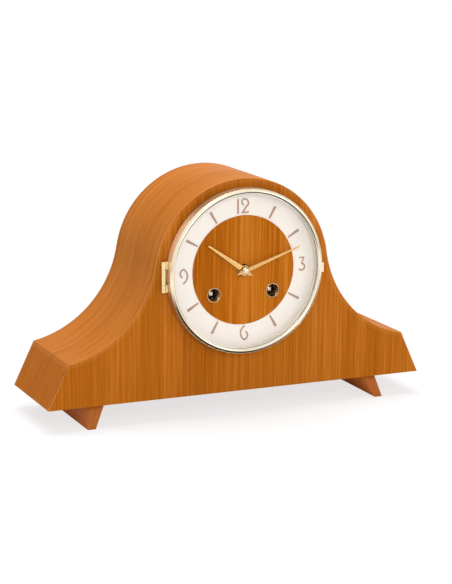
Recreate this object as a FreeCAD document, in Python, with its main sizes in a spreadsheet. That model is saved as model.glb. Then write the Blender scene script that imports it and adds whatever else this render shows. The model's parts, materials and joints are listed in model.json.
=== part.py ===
import FreeCAD, Part
import math
import os
from collections import namedtuple
from types import SimpleNamespace

import Sketcher
from FreeCAD import Placement, Rotation, Vector

# A table clock: a low wooden case with an arched top and hollow flanks, a round dial behind a hinged
# glass bezel, and a spring-driven movement that keeps time and strikes the hours on two gong rods.
# Sizes are millimetres. X runs to the right, Y into the case and Z up. The origin lies on the surface
# that the clock stands on, under the middle of its box. Depths are counted from the case's front face.

DIMENSIONS = (
    # case boards, heights counted from the underside of the case
    ("case_width", 382.0),
    ("case_depth", 98.5),
    ("end_inset", 19.6),
    ("end_height", 41.2),
    ("arch_height", 113.7),
    ("arch_radius", 88.5),
    ("flank_radius", 104.1),
    ("shell_thickness", 4.0),
    ("shell_bevel", 0.6),
    ("glue_gap", 0.03),
    ("front_thickness", 8.0),
    ("front_opening", 44.0),
    ("base_thickness", 8.0),
    ("end_thickness", 9.0),
    ("back_thickness", 6.0),
    ("back_recess", 6.0),
    # runner feet
    ("foot_height", 22.2),
    ("foot_inset", 50.7),
    ("foot_top_width", 13.4),
    ("foot_sole_width", 8.2),
    ("foot_splay", 8.8),
    ("foot_setback", 1.0),
    ("foot_rake", 7.0),
    # back door and its hinges
    ("door_width", 120.0),
    ("door_height", 110.0),
    ("door_sill", 40.0),
    ("door_gap", 0.5),
    ("door_hinge_length", 22.0),
    ("door_hinge_spread", 70.0),
    ("door_leaf_width", 11.0),
    ("door_leaf_thickness", 1.2),
    ("door_knuckle_radius", 2.0),
    ("door_pin_radius", 0.9),
    ("knob_radius", 5.5),
    ("knob_length", 5.2),
    ("knob_neck_radius", 2.5),
    ("knob_neck_length", 1.7),
    ("knob_rounding", 1.1),
    # dial
    ("dial_rise", 2.3),
    ("ring_inner_radius", 60.0),
    ("ring_flange", 0.6),
    ("ring_lip_height", 4.6),
    ("ring_lip_width", 0.8),
    ("dial_thickness", 0.6),
    ("dial_hole_radius", 5.8),
    ("dial_edge_gap", 0.15),
    ("centre_disc_radius", 51.6),
    ("centre_disc_thickness", 0.5),
    ("marker_thickness", 0.3),
    ("marker_inner_radius", 53.3),
    ("marker_length", 12.6),
    ("marker_inner_width", 1.5),
    ("marker_outer_width", 2.7),
    ("figure_height", 13.7),
    ("figure_radius", 60.2),
    ("figure_stroke", 1.45),
    ("winding_spread", 60.0),
    ("winding_drop", 21.5),
    ("eyelet_radius", 5.9),
    ("eyelet_wall", 0.7),
    ("eyelet_flange", 0.45),
    ("eyelet_thickness", 0.6),
    ("eyelet_tail", 6.0),
    # bezel and glass
    ("bezel_radius", 77.9),
    ("bezel_wall", 1.9),
    ("bezel_lift", 0.8),
    ("bezel_depth", 10.8),
    ("bezel_draft", 0.5),
    ("bezel_rim", 3.8),
    ("bezel_lip_gap", 0.3),
    ("glass_curve", 300.0),
    ("glass_thickness", 1.6),
    ("glass_seat", 1.1),
    ("glass_gap", 0.1),
    ("glass_inset", 2.6),
    ("retainer_width", 2.1),
    ("retainer_thickness", 1.2),
    ("bezel_hinge_offset", 3.6),
    ("bezel_hinge_depth", 4.5),
    ("bezel_knuckle_radius", 2.1),
    ("bezel_hinge_length", 28.6),
    ("bezel_middle_knuckle", 14.2),
    ("bezel_knuckle_gap", 0.2),
    ("bezel_pin_radius", 0.7),
    ("bezel_leaf_thickness", 1.6),
    ("bezel_sole_thickness", 0.6),
    ("bezel_web_shift", 1.2),
    ("tab_length", 9.0),
    ("tab_drop", 2.5),
    ("tab_reach", 3.6),
    ("tab_thickness", 2.4),
    # hands
    ("minute_hand_length", 58.6),
    ("hour_hand_length", 45.0),
    ("hand_tail", 10.0),
    ("hand_thickness", 0.6),
    ("hand_tip_width", 0.7),
    ("hand_swell", 0.7),
    ("minute_hand_width", 4.2),
    ("hour_hand_width", 5.2),
    ("hour_hand_lift", 2.4),
    ("hand_spacing", 1.4),
    ("hour_hub_margin", 1.9),
    ("minute_hub_margin", 1.5),
    ("hand_nut_radius", 3.4),
    ("hand_nut_height", 2.8),
    ("hand_nut_flat", 1.0),
    ("hand_nut_dome", 3.9),
    # movement frame
    ("post_length", 4.0),
    ("plate_thickness", 2.0),
    ("plate_spacing", 26.0),
    ("plate_width", 106.0),
    ("plate_height", 96.0),
    ("plate_corner", 6.0),
    ("pillar_radius", 3.2),
    ("pillar_tenon_radius", 1.8),
    ("pillar_inset", 5.5),
    ("pillar_nut_height", 2.6),
    ("pillar_nut_radius", 4.0),
    ("post_radius", 3.5),
    ("post_inset", 4.0),
    ("post_rise", 12.0),
    ("post_screw_radius", 1.6),
    ("post_screw_head", 1.5),
    ("post_screw_head_radius", 3.0),
    ("running_fit", 0.05),
    ("press_gap", 0.02),
    ("end_shake", 0.2),
    # wheels: tooth modules, flank clearance and arbor sizes
    ("great_module", 0.6),
    ("second_module", 0.5),
    ("centre_module", 0.36),
    ("third_module", 0.32),
    ("fourth_module", 0.3),
    ("strike_third_module", 0.4),
    ("locking_module", 0.36),
    ("count_module", 0.4),
    ("motion_module", 0.5),
    ("flank_clearance", 0.05),
    ("wheel_thickness", 1.2),
    ("pinion_overlap", 0.4),
    ("wheel_rim", 1.4),
    ("wheel_hub_radius", 3.6),
    ("spoke_width", 1.8),
    ("arbor_radius", 1.1),
    ("pivot_radius", 0.7),
    ("centre_arbor_radius", 1.5),
    ("cannon_wall", 0.75),
    ("hour_pipe_wall", 0.75),
    ("hour_wheel_depth", 4.8),
    ("motion_spacing", 3.6),
    ("stud_radius", 1.0),
    # barrels and winding work
    ("barrel_radius", 18.4),
    ("barrel_wall", 0.8),
    ("great_wheel_thickness", 2.2),
    ("barrel_arbor_radius", 3.0),
    ("winding_round_radius", 2.4),
    ("winding_square", 4.2),
    ("winding_tip_depth", 4.2),
    ("ratchet_radius", 9.5),
    ("ratchet_tooth", 1.2),
    ("ratchet_thickness", 1.5),
    ("click_aside", 9.0),
    ("click_rise", 12.0),
    ("click_boss_radius", 2.6),
    ("contact_gap", 0.3),
    # escapement
    ("escape_radius", 8.0),
    ("escape_tooth", 1.8),
    ("escape_hub_radius", 2.2),
    ("escape_spoke_width", 1.25),
    ("pallet_arm_width", 1.4),
    ("fork_prong_width", 1.0),
    ("pallet_distance", 11.0),
    ("fork_reach", 8.8),
    ("balance_distance", 12.5),
    ("balance_radius", 9.4),
    ("balance_rim_width", 1.2),
    ("balance_hub_radius", 2.5),
    ("balance_thickness", 1.5),
    ("roller_radius", 2.2),
    ("impulse_pin_radius", 0.42),
    ("impulse_pin_circle", 1.65),
    ("hairspring_radius", 5.8),
    ("hairspring_thickness", 0.25),
    ("hairspring_pitch", 0.7),
    ("bridge_thickness", 1.6),
    ("bridge_width", 5.0),
    ("bridge_foot_radius", 3.5),
    # striking work
    ("hammer_pin_circle", 13.75),
    ("hammer_pin_radius", 0.5),
    ("count_disc_radius", 13.0),
    ("count_notch_depth", 2.4),
    ("count_lever_reach", 14.3),
    ("hammer_reach", 38.0),
    ("hammer_drop", 16.0),
    ("hammer_head_radius", 3.5),
    ("hammer_head_length", 9.0),
    ("hammer_rod_radius", 1.6),
    ("gong_spacing", 10.0),
    ("gong_depth", 50.0),
    ("gong_rod_radius", 1.4),
    ("gong_rod_length", 168.0),
    ("gong_gap", 0.8),
    ("gong_block_length", 24.0),
    ("gong_block_width", 24.0),
    ("gong_block_cover", 5.0),
    ("gong_block_setback", 39.5),
    ("fly_width", 12.0),
)

# tooth counts, and the shape that all teeth share
PINION_TEETH = 10
GREAT_TEETH = 66
SECOND_TEETH = 60
CENTRE_TEETH = 80
THIRD_TEETH = 75
FOURTH_TEETH = 70
STRIKE_THIRD_TEETH = 60
LOCKING_TEETH = 50
COUNT_PINION_TEETH = 12
COUNT_TEETH = 72
CANNON_TEETH = 14
MINUTE_TEETH = 42
MINUTE_PINION_TEETH = 12
HOUR_TEETH = 48
ESCAPE_TEETH = 15
RATCHET_TEETH = 24
HAMMER_PINS = 13
PRESSURE_ANGLE = math.radians(25)
ADDENDUM = 0.8
DEDENDUM = 1.05

# where each train runs, as directions in degrees seen from the front, and the time that the hands show
THIRD_DIRECTION = 75
FOURTH_DIRECTION = 20
ESCAPE_DIRECTION = 110
STRIKE_SECOND_DIRECTION = 75
STRIKE_THIRD_DIRECTION = 70
LOCKING_DIRECTION = 100
FLY_DIRECTION = 180
COUNT_DIRECTION = 250
COUNT_NOSE_DIRECTION = 100
HAMMER_TAIL_DIRECTION = -40
MINUTE_WHEEL_DIRECTION = 135
HOURS_SHOWN = 10.2
# how far the dial and its hands sit turned against the case, clockwise, in degrees
DIAL_TURN = -1.4

ALONG_Y = Rotation(Vector(1, 0, 0), -90)
ALONG_X = Rotation(Vector(0, 1, 0), 90)
UPRIGHT = Rotation()

doc = FreeCAD.newDocument("table_clock")
sheet = doc.addObject("Spreadsheet::Sheet", "dims")
PARTS = []


class Size:
    """A length, with the sheet expression that gives it."""

    def __init__(self, value, text):
        self.value = float(value)
        self.text = text

    @staticmethod
    def of(other):
        return other if isinstance(other, Size) else Size(other, f"({float(other)})")

    def combine(self, other, result, sign):
        return Size(result, f"({self.text} {sign} {other.text})")

    def __add__(self, other):
        other = Size.of(other)
        return self.combine(other, self.value + other.value, "+")

    def __sub__(self, other):
        other = Size.of(other)
        return self.combine(other, self.value - other.value, "-")

    def __mul__(self, other):
        other = Size.of(other)
        return self.combine(other, self.value * other.value, "*")

    def __truediv__(self, other):
        other = Size.of(other)
        return self.combine(other, self.value / other.value, "/")

    def __radd__(self, other):
        return Size.of(other) + self

    def __rsub__(self, other):
        return Size.of(other) - self

    def __rmul__(self, other):
        return Size.of(other) * self

    def __neg__(self):
        return Size.of(-1) * self


def write_cell(alias, value):
    """Puts one plain number in the sheet under its alias and returns it as a size."""
    write_cell.row += 1
    sheet.set(f"A{write_cell.row}", alias)
    sheet.set(f"B{write_cell.row}", str(value))
    sheet.setAlias(f"B{write_cell.row}", alias)
    return Size(value, f"dims.{alias}")


write_cell.row = 0
dim = SimpleNamespace(**{alias: write_cell(alias, value) for alias, value in DIMENSIONS})
mm = SimpleNamespace(**{alias: value for alias, value in DIMENSIONS})

# Where the main planes lie

half_width = dim.case_width / 2
shoulder_radius = dim.bezel_radius - dim.bezel_draft
rim_radius = shoulder_radius - dim.bezel_rim
crown_depth = dim.bezel_lift + dim.bezel_depth
glass_seat_front = crown_depth - dim.glass_inset
glass_edge = rim_radius + dim.glass_seat


def glass_reach(radius, curve):
    """How far in front of its centre the glass's sphere lies at a distance from the axis."""
    return math.sqrt(curve**2 - radius.value**2)


glass_centre = write_cell(
    "glass_centre", mm.glass_gap - glass_seat_front.value + glass_reach(rim_radius, mm.glass_curve)
)
glass_apex = glass_centre - dim.glass_curve
front_y = (-glass_apex - dim.case_depth) / 2
case_z = dim.foot_height
dial_height = dim.arch_height + dim.dial_rise
dial_z = case_z + dial_height
dial_face = write_cell("dial_face", -(mm.ring_flange + mm.dial_thickness))
plate_front = write_cell("plate_front", mm.front_thickness + mm.post_length)
plate_inner = plate_front + dim.plate_thickness
rear_inner = plate_inner + dim.plate_spacing
rear_outer = rear_inner + dim.plate_thickness
back_inner = dim.case_depth - dim.back_recess - dim.back_thickness
back_outer = dim.case_depth - dim.back_recess
doc.recompute()

# Tools for making the pieces

Bend = namedtuple("Bend", "x y radius counterclockwise")
Round = namedtuple("Round", "x y radius")


def bind(thing, name, size):
    """Ties one property of an object to the sheet."""
    thing.setExpression(name, Size.of(size).text)


def place(thing, at, turn=UPRIGHT):
    """Sets where an object lies, tied to the sheet along each axis."""
    at = [Size.of(value) for value in at]
    thing.Placement = Placement(Vector(*[value.value for value in at]), turn)
    for axis, value in zip("xyz", at):
        thing.setExpression(f"Placement.Base.{axis}", value.text)
    return thing


def keep(thing):
    """Counts an object among the pieces that are written out."""
    PARTS.append(thing)
    return thing


def fix_point(sketch, geometry, end, x, y):
    """Ties one point of a sketch to the sheet."""
    for kind, axis, value in (("DistanceX", -2, Size.of(x)), ("DistanceY", -1, Size.of(y))):
        if value.value == 0:
            sketch.addConstraint(Sketcher.Constraint("PointOnObject", geometry, end, axis))
        else:
            index = sketch.addConstraint(Sketcher.Constraint(kind, geometry, end, value.value))
            sketch.setExpression(f"Constraints[{index}]", value.text)


def fix_radius(sketch, geometry, radius):
    """Ties a round edge's radius to the sheet."""
    index = sketch.addConstraint(Sketcher.Constraint("Radius", geometry, radius.value))
    sketch.setExpression(f"Constraints[{index}]", radius.text)


def draw_round(sketch, hole):
    """Draws a full circle."""
    centre = Vector(Size.of(hole.x).value, Size.of(hole.y).value, 0)
    geometry = sketch.addGeometry(Part.Circle(centre, Vector(0, 0, 1), hole.radius.value))
    fix_radius(sketch, geometry, hole.radius)
    fix_point(sketch, geometry, 3, hole.x, hole.y)


def draw_outline(sketch, corners):
    """Draws a closed outline. A corner with a bend starts an arc, any other starts a straight edge."""
    edges = []
    for index, corner in enumerate(corners):
        following = corners[(index + 1) % len(corners)]
        here = Vector(Size.of(corner[0]).value, Size.of(corner[1]).value, 0)
        there = Vector(Size.of(following[0]).value, Size.of(following[1]).value, 0)
        if len(corner) == 2:
            edges.append((sketch.addGeometry(Part.LineSegment(here, there)), 1, 2))
            continue
        bend = corner[2]
        centre = Vector(Size.of(bend.x).value, Size.of(bend.y).value, 0)
        angles = [math.atan2(p.y - centre.y, p.x - centre.x) for p in (here, there)]
        first, last = angles if bend.counterclockwise else reversed(angles)
        if last < first:
            last += 2 * math.pi
        circle = Part.Circle(centre, Vector(0, 0, 1), bend.radius.value)
        geometry = sketch.addGeometry(Part.ArcOfCircle(circle, first, last))
        edges.append((geometry, 1, 2) if bend.counterclockwise else (geometry, 2, 1))
    for index, (geometry, start, end) in enumerate(edges):
        following = edges[(index + 1) % len(edges)]
        sketch.addConstraint(Sketcher.Constraint("Coincident", geometry, end, following[0], following[1]))
    for corner, (geometry, start, end) in zip(corners, edges):
        fix_point(sketch, geometry, start, corner[0], corner[1])
        if len(corner) == 3:
            fix_radius(sketch, geometry, corner[2].radius)


def body_with_sketch(label, role, loops):
    """Starts a body with one sketch on the named plane of its own origin."""
    body = doc.addObject("PartDesign::Body", label)
    sketch = body.newObject("Sketcher::SketchObject", f"{label}_outline")
    plane = next(feature for feature in body.Origin.OriginFeatures if feature.Role == role)
    sketch.AttachmentSupport = [(plane, "")]
    sketch.MapMode = "FlatFace"
    for loop in loops:
        if isinstance(loop, Round):
            draw_round(sketch, loop)
        else:
            draw_outline(sketch, loop)
    return body, sketch


def flat_body(label, thickness, at, *loops):
    """Draws a front outline with its holes and gives it a thickness that runs back."""
    body, sketch = body_with_sketch(label, "XZ_Plane", loops)
    pad = body.newObject("PartDesign::Pad", f"{label}_pad")
    pad.Profile = sketch
    pad.Reversed = True
    bind(pad, "Length", thickness)
    return place(body, at)


def board(label, thickness, at, *loops):
    """Makes a flat piece from a front outline and its holes."""
    return keep(flat_body(label, thickness, at, *loops))


def turned(label, at, corners):
    """Makes a piece turned about the front-to-back axis from a section of radius and depth."""
    body, sketch = body_with_sketch(label, "XY_Plane", [corners])
    turning = body.newObject("PartDesign::Revolution", f"{label}_turning")
    turning.Profile = sketch
    turning.ReferenceAxis = (sketch, ["V_Axis"])
    turning.Angle = 360
    return keep(place(body, at))


def box(label, sizes, at):
    """Makes a block from its sizes along X, Y and Z and its lowest corner."""
    block = doc.addObject("Part::Box", label)
    for name, value in zip(("Length", "Width", "Height"), sizes):
        bind(block, name, value)
    return place(block, at)


def cylinder(label, radius, length, at, turn=ALONG_Y):
    """Makes a round bar from the middle of its first end."""
    bar = doc.addObject("Part::Cylinder", label)
    bind(bar, "Radius", radius)
    bind(bar, "Height", length)
    return place(bar, at, turn)


def cut(label, base, tool):
    """Takes one object away from another."""
    result = doc.addObject("Part::Cut", label)
    result.Base = base
    result.Tool = tool
    return result


def fuse(label, pieces):
    """Joins objects into one solid."""
    result = doc.addObject("Part::MultiFuse", label)
    result.Shapes = pieces
    result.Refine = True
    return result


def group(label, pieces):
    """Gathers separate solids in one piece."""
    result = doc.addObject("Part::Compound", label)
    result.Links = pieces
    return keep(result)


def shaped(label, at, solids):
    """Keeps solids made about an own front-to-back axis, joined, with the axis at a place on the dial."""
    result = doc.addObject("Part::Feature", label)
    result.Shape = solids[0].fuse(solids[1:]).removeSplitter() if len(solids) > 1 else solids[0]
    return keep(place(result, (at[0], front_y, dial_z + at[1])))


# Flat and toothed forms, drawn about an axis that runs back from the front face


def spot(radius, angle):
    """A point at an angle from the X axis towards Z."""
    return Vector(radius * math.cos(angle), 0, radius * math.sin(angle))


def line(start, end):
    """A straight edge."""
    return Part.LineSegment(start, end).toShape()


def arc(start, middle, end):
    """A round edge through three points."""
    return Part.Arc(start, middle, end).toShape()


def loop(points):
    """A closed outline of straight edges."""
    return Part.makePolygon(list(points) + [points[0]])


def ring_wire(radius):
    """A circle about the axis."""
    return Part.Wire(Part.makeCircle(radius, Vector(), Vector(0, 1, 0)))


def slab(wires, start, end):
    """A flat piece between two depths, from its outline and the outlines of its holes."""
    face = Part.makeFace(wires, "Part::FaceMakerBullseye")
    face.translate(Vector(0, start, 0))
    return face.extrude(Vector(0, end - start, 0))


def bar(radius, start, end, x=0, z=0):
    """A round bar between two depths."""
    return Part.makeCylinder(radius, end - start, Vector(x, start, z), Vector(0, 1, 0))


def beam(first, second, width, start, end):
    """A flat straight bar from one point to another."""
    along = (second - first).normalize()
    aside = Vector(-along.z, 0, along.x) * (width / 2)
    return slab([loop([first - aside, second - aside, second + aside, first + aside])], start, end)


def gear_wire(teeth, module, phase):
    """The outline of an involute gear with one tooth at the phase angle."""
    pitch = teeth * module / 2
    base = pitch * math.cos(PRESSURE_ANGLE)
    tip = pitch + ADDENDUM * module
    foot = pitch - DEDENDUM * module

    def involute(angle):
        return math.tan(angle) - angle

    def half_tooth(radius):
        lean = math.acos(min(1.0, base / radius))
        thinned = math.pi / (2 * teeth) - mm.flank_clearance / pitch
        return thinned + involute(PRESSURE_ANGLE) - involute(lean)

    low = max(base, foot)
    radii = (low, (low + tip) / 2, tip)
    step = 2 * math.pi / teeth
    edges = []
    for tooth in range(teeth):
        middle = phase + tooth * step
        rise = [spot(radius, middle - half_tooth(radius)) for radius in radii]
        fall = [spot(radius, middle + half_tooth(radius)) for radius in reversed(radii)]
        before = spot(foot, middle - half_tooth(foot))
        after = spot(foot, middle + half_tooth(foot))
        if foot < base:
            edges.append(line(before, rise[0]))
        edges.append(arc(*rise))
        edges.append(arc(rise[2], spot(tip, middle), fall[0]))
        edges.append(arc(*fall))
        if foot < base:
            edges.append(line(fall[2], after))
        following = spot(foot, middle + step - half_tooth(foot))
        edges.append(arc(after, spot(foot, middle + step / 2), following))
    return Part.Wire(edges)


def windows(hub, rim, count, width, phase=0.0):
    """The openings between a wheel's spokes."""
    step = 2 * math.pi / count
    wires = []
    for index in range(count):
        middle = phase + (index + 0.5) * step
        inner = step / 2 - math.asin(width / 2 / hub)
        outer = step / 2 - math.asin(width / 2 / rim)
        wires.append(Part.Wire([
            arc(spot(hub, middle + inner), spot(hub, middle), spot(hub, middle - inner)),
            line(spot(hub, middle - inner), spot(rim, middle - outer)),
            arc(spot(rim, middle - outer), spot(rim, middle), spot(rim, middle + outer)),
            line(spot(rim, middle + outer), spot(hub, middle + inner)),
        ]))
    return wires


def wheel(teeth, module, phase, start, spokes=4):
    """A spoked toothed wheel at a depth."""
    rim = teeth * module / 2 - DEDENDUM * module - mm.wheel_rim
    holes = windows(mm.wheel_hub_radius, rim, spokes, mm.spoke_width, phase)
    return slab([gear_wire(teeth, module, phase)] + holes, start, start + mm.wheel_thickness)


def pinion(teeth, module, phase, start, end):
    """A solid toothed pinion between two depths."""
    return slab([gear_wire(teeth, module, phase)], start, end)


def facing(layer):
    """The depths between which a pinion stands, to mesh with a wheel that starts at a depth."""
    return layer - mm.pinion_overlap, layer + mm.wheel_thickness + mm.pinion_overlap


def mesh(teeth, phase, direction, next_teeth):
    """The phase of a gear that meshes with another which lies back along the given direction."""
    turn = (direction - phase) * teeth / (2 * math.pi)
    return direction + math.pi - (0.5 - turn) * 2 * math.pi / next_teeth


def mesh_distance(teeth, next_teeth, module):
    """How far apart two gears turn."""
    return (teeth + next_teeth) * module / 2


def step_from(place_from, distance, degrees):
    """The place that lies at a distance and a direction from another."""
    angle = math.radians(degrees)
    return (place_from[0] + distance * math.cos(angle), place_from[1] + distance * math.sin(angle))


def direction_of(start, end):
    """The direction from one place to another."""
    return math.atan2(end[1] - start[1], end[0] - start[0])


def offset(start, end):
    """The step from one place on the dial to another, as a vector."""
    return Vector(end[0] - start[0], 0, end[1] - start[1])


def meeting_point(first, reach_first, second, reach_second):
    """Where two circles meet, on the left of the line from the first centre to the second."""
    gap = math.dist(first, second)
    along = (reach_first**2 - reach_second**2 + gap**2) / (2 * gap)
    aside = math.sqrt(reach_first**2 - along**2)
    unit = ((second[0] - first[0]) / gap, (second[1] - first[1]) / gap)
    return (first[0] + along * unit[0] - aside * unit[1], first[1] + along * unit[1] + aside * unit[0])


def arbor(front, rear):
    """An arbor between the plates, on a pivot that runs from one depth to another."""
    body = bar(mm.arbor_radius, inner_face + mm.end_shake, rear_face - mm.end_shake)
    return [body, bar(mm.pivot_radius, front, rear)]


def spiral(inner, pitch, half_turns, thickness, start, end):
    """A flat coil of strip, made of half circles about two centres."""

    def across(index, extra, side):
        radius = inner + index * pitch / 2 + extra
        centre = Vector(0 if index % 2 == 0 else pitch / 2, 0, 0)
        turn = 0 if index % 2 == 0 else math.pi
        return centre + spot(radius, turn + side * math.pi / 2)

    edges = []
    for extra in (0, thickness):
        for index in range(half_turns):
            edges.append(arc(*[across(index, extra, side) for side in (0, 1, 2)]))
    last = half_turns - 1
    edges.append(line(across(0, 0, 0), across(0, thickness, 0)))
    edges.append(line(across(last, 0, 2), across(last, thickness, 2)))
    return slab([Part.Wire(Part.__sortEdges__(edges))], start, end)


# Case: the outline that its boards share

end_top = (mm.case_width / 2 - mm.end_inset, mm.end_height)
arch_centre = (0.0, mm.arch_height)
reach = mm.arch_radius + mm.flank_radius
flank_centre = meeting_point(arch_centre, reach, end_top, mm.flank_radius)
flank_x = write_cell("flank_x", flank_centre[0])
flank_z = write_cell("flank_z", flank_centre[1])


def end_line(height):
    """How far out the sloping end face lies at a height above the underside."""
    return half_width - dim.end_inset / dim.end_height * height


def flank_on_line(x_low, z_low, x_high, z_high, radius):
    """Where the flank's circle crosses a line, at its lower crossing."""
    run = (x_high - x_low, z_high - z_low)
    from_centre = (x_low - flank_centre[0], z_low - flank_centre[1])
    square = run[0] ** 2 + run[1] ** 2
    half = (run[0] * from_centre[0] + run[1] * from_centre[1]) / square
    rest = (from_centre[0] ** 2 + from_centre[1] ** 2 - radius**2) / square
    share = -half - math.sqrt(half**2 - rest)
    return (x_low + share * run[0], z_low + share * run[1])


def curve_points(name, inset, end_setback):
    """The end and arch corners of the curved outline, set in from the outside of the case."""
    radius = mm.flank_radius + inset.value
    low = end_line(0).value - end_setback.value
    high = end_top[0] - end_setback.value
    crossing = flank_on_line(low, 0.0, high, end_top[1], radius)
    share = (mm.arch_radius - inset.value) / reach
    joint = (flank_centre[0] * share, mm.arch_height + (flank_centre[1] - mm.arch_height) * share)
    return SimpleNamespace(
        end_x=write_cell(f"{name}_end_x", crossing[0]),
        end_z=write_cell(f"{name}_end_z", crossing[1]),
        joint_x=write_cell(f"{name}_joint_x", joint[0]),
        joint_z=write_cell(f"{name}_joint_z", joint[1]),
        flank=dim.flank_radius + inset,
        arch=dim.arch_radius - inset,
    )


def curve_corners(curve):
    """The curved outline from the right end over the arch to the left end."""
    right_flank = Bend(flank_x, flank_z, curve.flank, False)
    top = Bend(0, dim.arch_height, curve.arch, True)
    left_flank = Bend(-flank_x, flank_z, curve.flank, False)
    return [
        (curve.end_x, curve.end_z, right_flank),
        (curve.joint_x, curve.joint_z, top),
        (-curve.joint_x, curve.joint_z, left_flank),
        (-curve.end_x, curve.end_z),
    ]


def curve_back(curve):
    """The same outline run the other way, from the left end to the right."""
    left_flank = Bend(-flank_x, flank_z, curve.flank, True)
    top = Bend(0, dim.arch_height, curve.arch, False)
    right_flank = Bend(flank_x, flank_z, curve.flank, True)
    return [
        (-curve.end_x, curve.end_z, left_flank),
        (-curve.joint_x, curve.joint_z, top),
        (curve.joint_x, curve.joint_z, right_flank),
        (curve.end_x, curve.end_z),
    ]


nothing = Size.of(0)
outer_curve = curve_points("outer", nothing, nothing)
shell_curve = curve_points("shell", dim.shell_thickness, nothing)
board_curve = curve_points("board", dim.shell_thickness + dim.glue_gap, nothing)
inner_curve = curve_points("inner", dim.shell_thickness + dim.glue_gap, dim.end_thickness)
doc.recompute()

front_corner = (0, front_y, case_z)
behind_front = (0, front_y + dim.front_thickness, case_z)
length_behind = dim.case_depth - dim.front_thickness
post_places = [
    (side * (dim.plate_width / 2 - dim.post_inset), rise * dim.post_rise)
    for side in (-1, 1)
    for rise in (-1, 1)
]

# Case: front board, shell, ends, base, back and feet


def make_case():
    """Makes the boards that are glued up into the case, and the runner feet under it."""
    screw_size = dim.post_screw_radius + dim.press_gap
    screw_holes = [Round(x, dial_height + z, screw_size) for x, z in post_places]
    board(
        "front_board",
        dim.front_thickness,
        front_corner,
        [(-half_width, 0), (half_width, 0)] + curve_corners(board_curve),
        Round(0, dial_height, dim.front_opening),
        *screw_holes,
    )
    make_shell()
    for side, label in ((-1, "end_left"), (1, "end_right")):
        foot_x = end_line(dim.base_thickness)
        arc_in = Bend(side * flank_x, flank_z, board_curve.flank, side < 0)
        board(label, length_behind, behind_front, [
            (side * (foot_x - dim.end_thickness), dim.base_thickness),
            (side * foot_x, dim.base_thickness),
            (side * board_curve.end_x, board_curve.end_z, arc_in),
            (side * inner_curve.end_x, inner_curve.end_z),
        ])
    ledge = end_line(dim.base_thickness)
    board("base_board", length_behind, behind_front, [
        (-half_width, 0),
        (half_width, 0),
        (ledge, dim.base_thickness),
        (-ledge, dim.base_thickness),
    ])
    for side, label in ((-1, "foot_left"), (1, "foot_right")):
        make_foot(label, side)


def make_shell():
    """Bends the shell over the arch and flanks, with a small bevel along its front edge."""
    outline = curve_corners(outer_curve) + curve_back(shell_curve)
    body = board("case_shell", dim.case_depth, front_corner, outline)
    doc.recompute()
    pad = body.Tip
    near = mm.shell_bevel / 10
    edges = []
    for number, edge in enumerate(pad.Shape.Edges, start=1):
        radius = getattr(edge.Curve, "Radius", 0)
        outside = abs(radius - mm.arch_radius) < near or abs(radius - mm.flank_radius) < near
        if outside and abs(edge.BoundBox.YMax) < near:
            edges.append(f"Edge{number}")
    bevel = body.newObject("PartDesign::Chamfer", "case_shell_bevel")
    bevel.Base = (pad, edges)
    bind(bevel, "Size", dim.shell_bevel)


def make_foot(label, side):
    """Makes a runner foot, which narrows and leans out towards its sole and has raked ends."""
    top = side * (half_width - dim.foot_inset)
    sole = top + side * dim.foot_splay
    end = dim.foot_setback + dim.foot_rake
    foot = doc.addObject("Part::Wedge", label)
    sizes = {
        "Xmin": top - dim.foot_top_width / 2,
        "Xmax": top + dim.foot_top_width / 2,
        "Ymin": -dim.foot_height,
        "Ymax": 0,
        "Zmin": end,
        "Zmax": dim.case_depth - end,
        "X2min": sole - dim.foot_sole_width / 2,
        "X2max": sole + dim.foot_sole_width / 2,
        "Z2min": dim.foot_setback,
        "Z2max": dim.case_depth - dim.foot_setback,
    }
    for name, size in sizes.items():
        bind(foot, name, size)
    keep(place(foot, (0, front_y, 0), ALONG_Y))


def make_back():
    """Makes the back panel, and the door that hangs in it on two hinges."""
    foot_x = end_line(dim.base_thickness) - dim.end_thickness
    half = dim.door_width / 2
    board(
        "back_panel",
        dim.back_thickness,
        (0, front_y + back_inner, case_z),
        [(-foot_x, dim.base_thickness), (foot_x, dim.base_thickness)] + curve_corners(inner_curve),
        [
            (-half, dim.door_sill),
            (half, dim.door_sill),
            (half, dim.door_sill + dim.door_height),
            (-half, dim.door_sill + dim.door_height),
        ],
    )
    leaf_half = half - dim.door_gap
    board("back_door", dim.back_thickness, (0, front_y + back_inner, case_z), [
        (-leaf_half, dim.door_sill + dim.door_gap),
        (leaf_half, dim.door_sill + dim.door_gap),
        (leaf_half, dim.door_sill + dim.door_height - dim.door_gap),
        (-leaf_half, dim.door_sill + dim.door_height - dim.door_gap),
    ])
    knob_x = -leaf_half + dim.knob_radius * 2
    knob_z = case_z + dim.door_sill + dim.door_height / 2
    turned("door_knob", (knob_x, front_y + back_outer, knob_z), [
        (0, 0),
        (dim.knob_neck_radius, 0),
        (dim.knob_neck_radius, dim.knob_neck_length),
        (dim.knob_radius, dim.knob_length / 2),
        (dim.knob_radius, dim.knob_length - dim.knob_rounding),
        (dim.knob_radius - dim.knob_rounding, dim.knob_length),
        (0, dim.knob_length),
    ])
    make_door_hinges(half)


def hinge_half(label, x, y, bottom, length, leaf_side):
    """One knuckle of a door hinge with the leaf that lies on the wood."""
    tube = cylinder(f"{label}_tube", dim.door_knuckle_radius, length, (x, y, bottom), UPRIGHT)
    left = x if leaf_side > 0 else x - dim.door_leaf_width
    sizes = (dim.door_leaf_width, dim.door_leaf_thickness, length)
    return [tube, box(f"{label}_leaf", sizes, (left, front_y + back_outer, bottom))]


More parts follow.
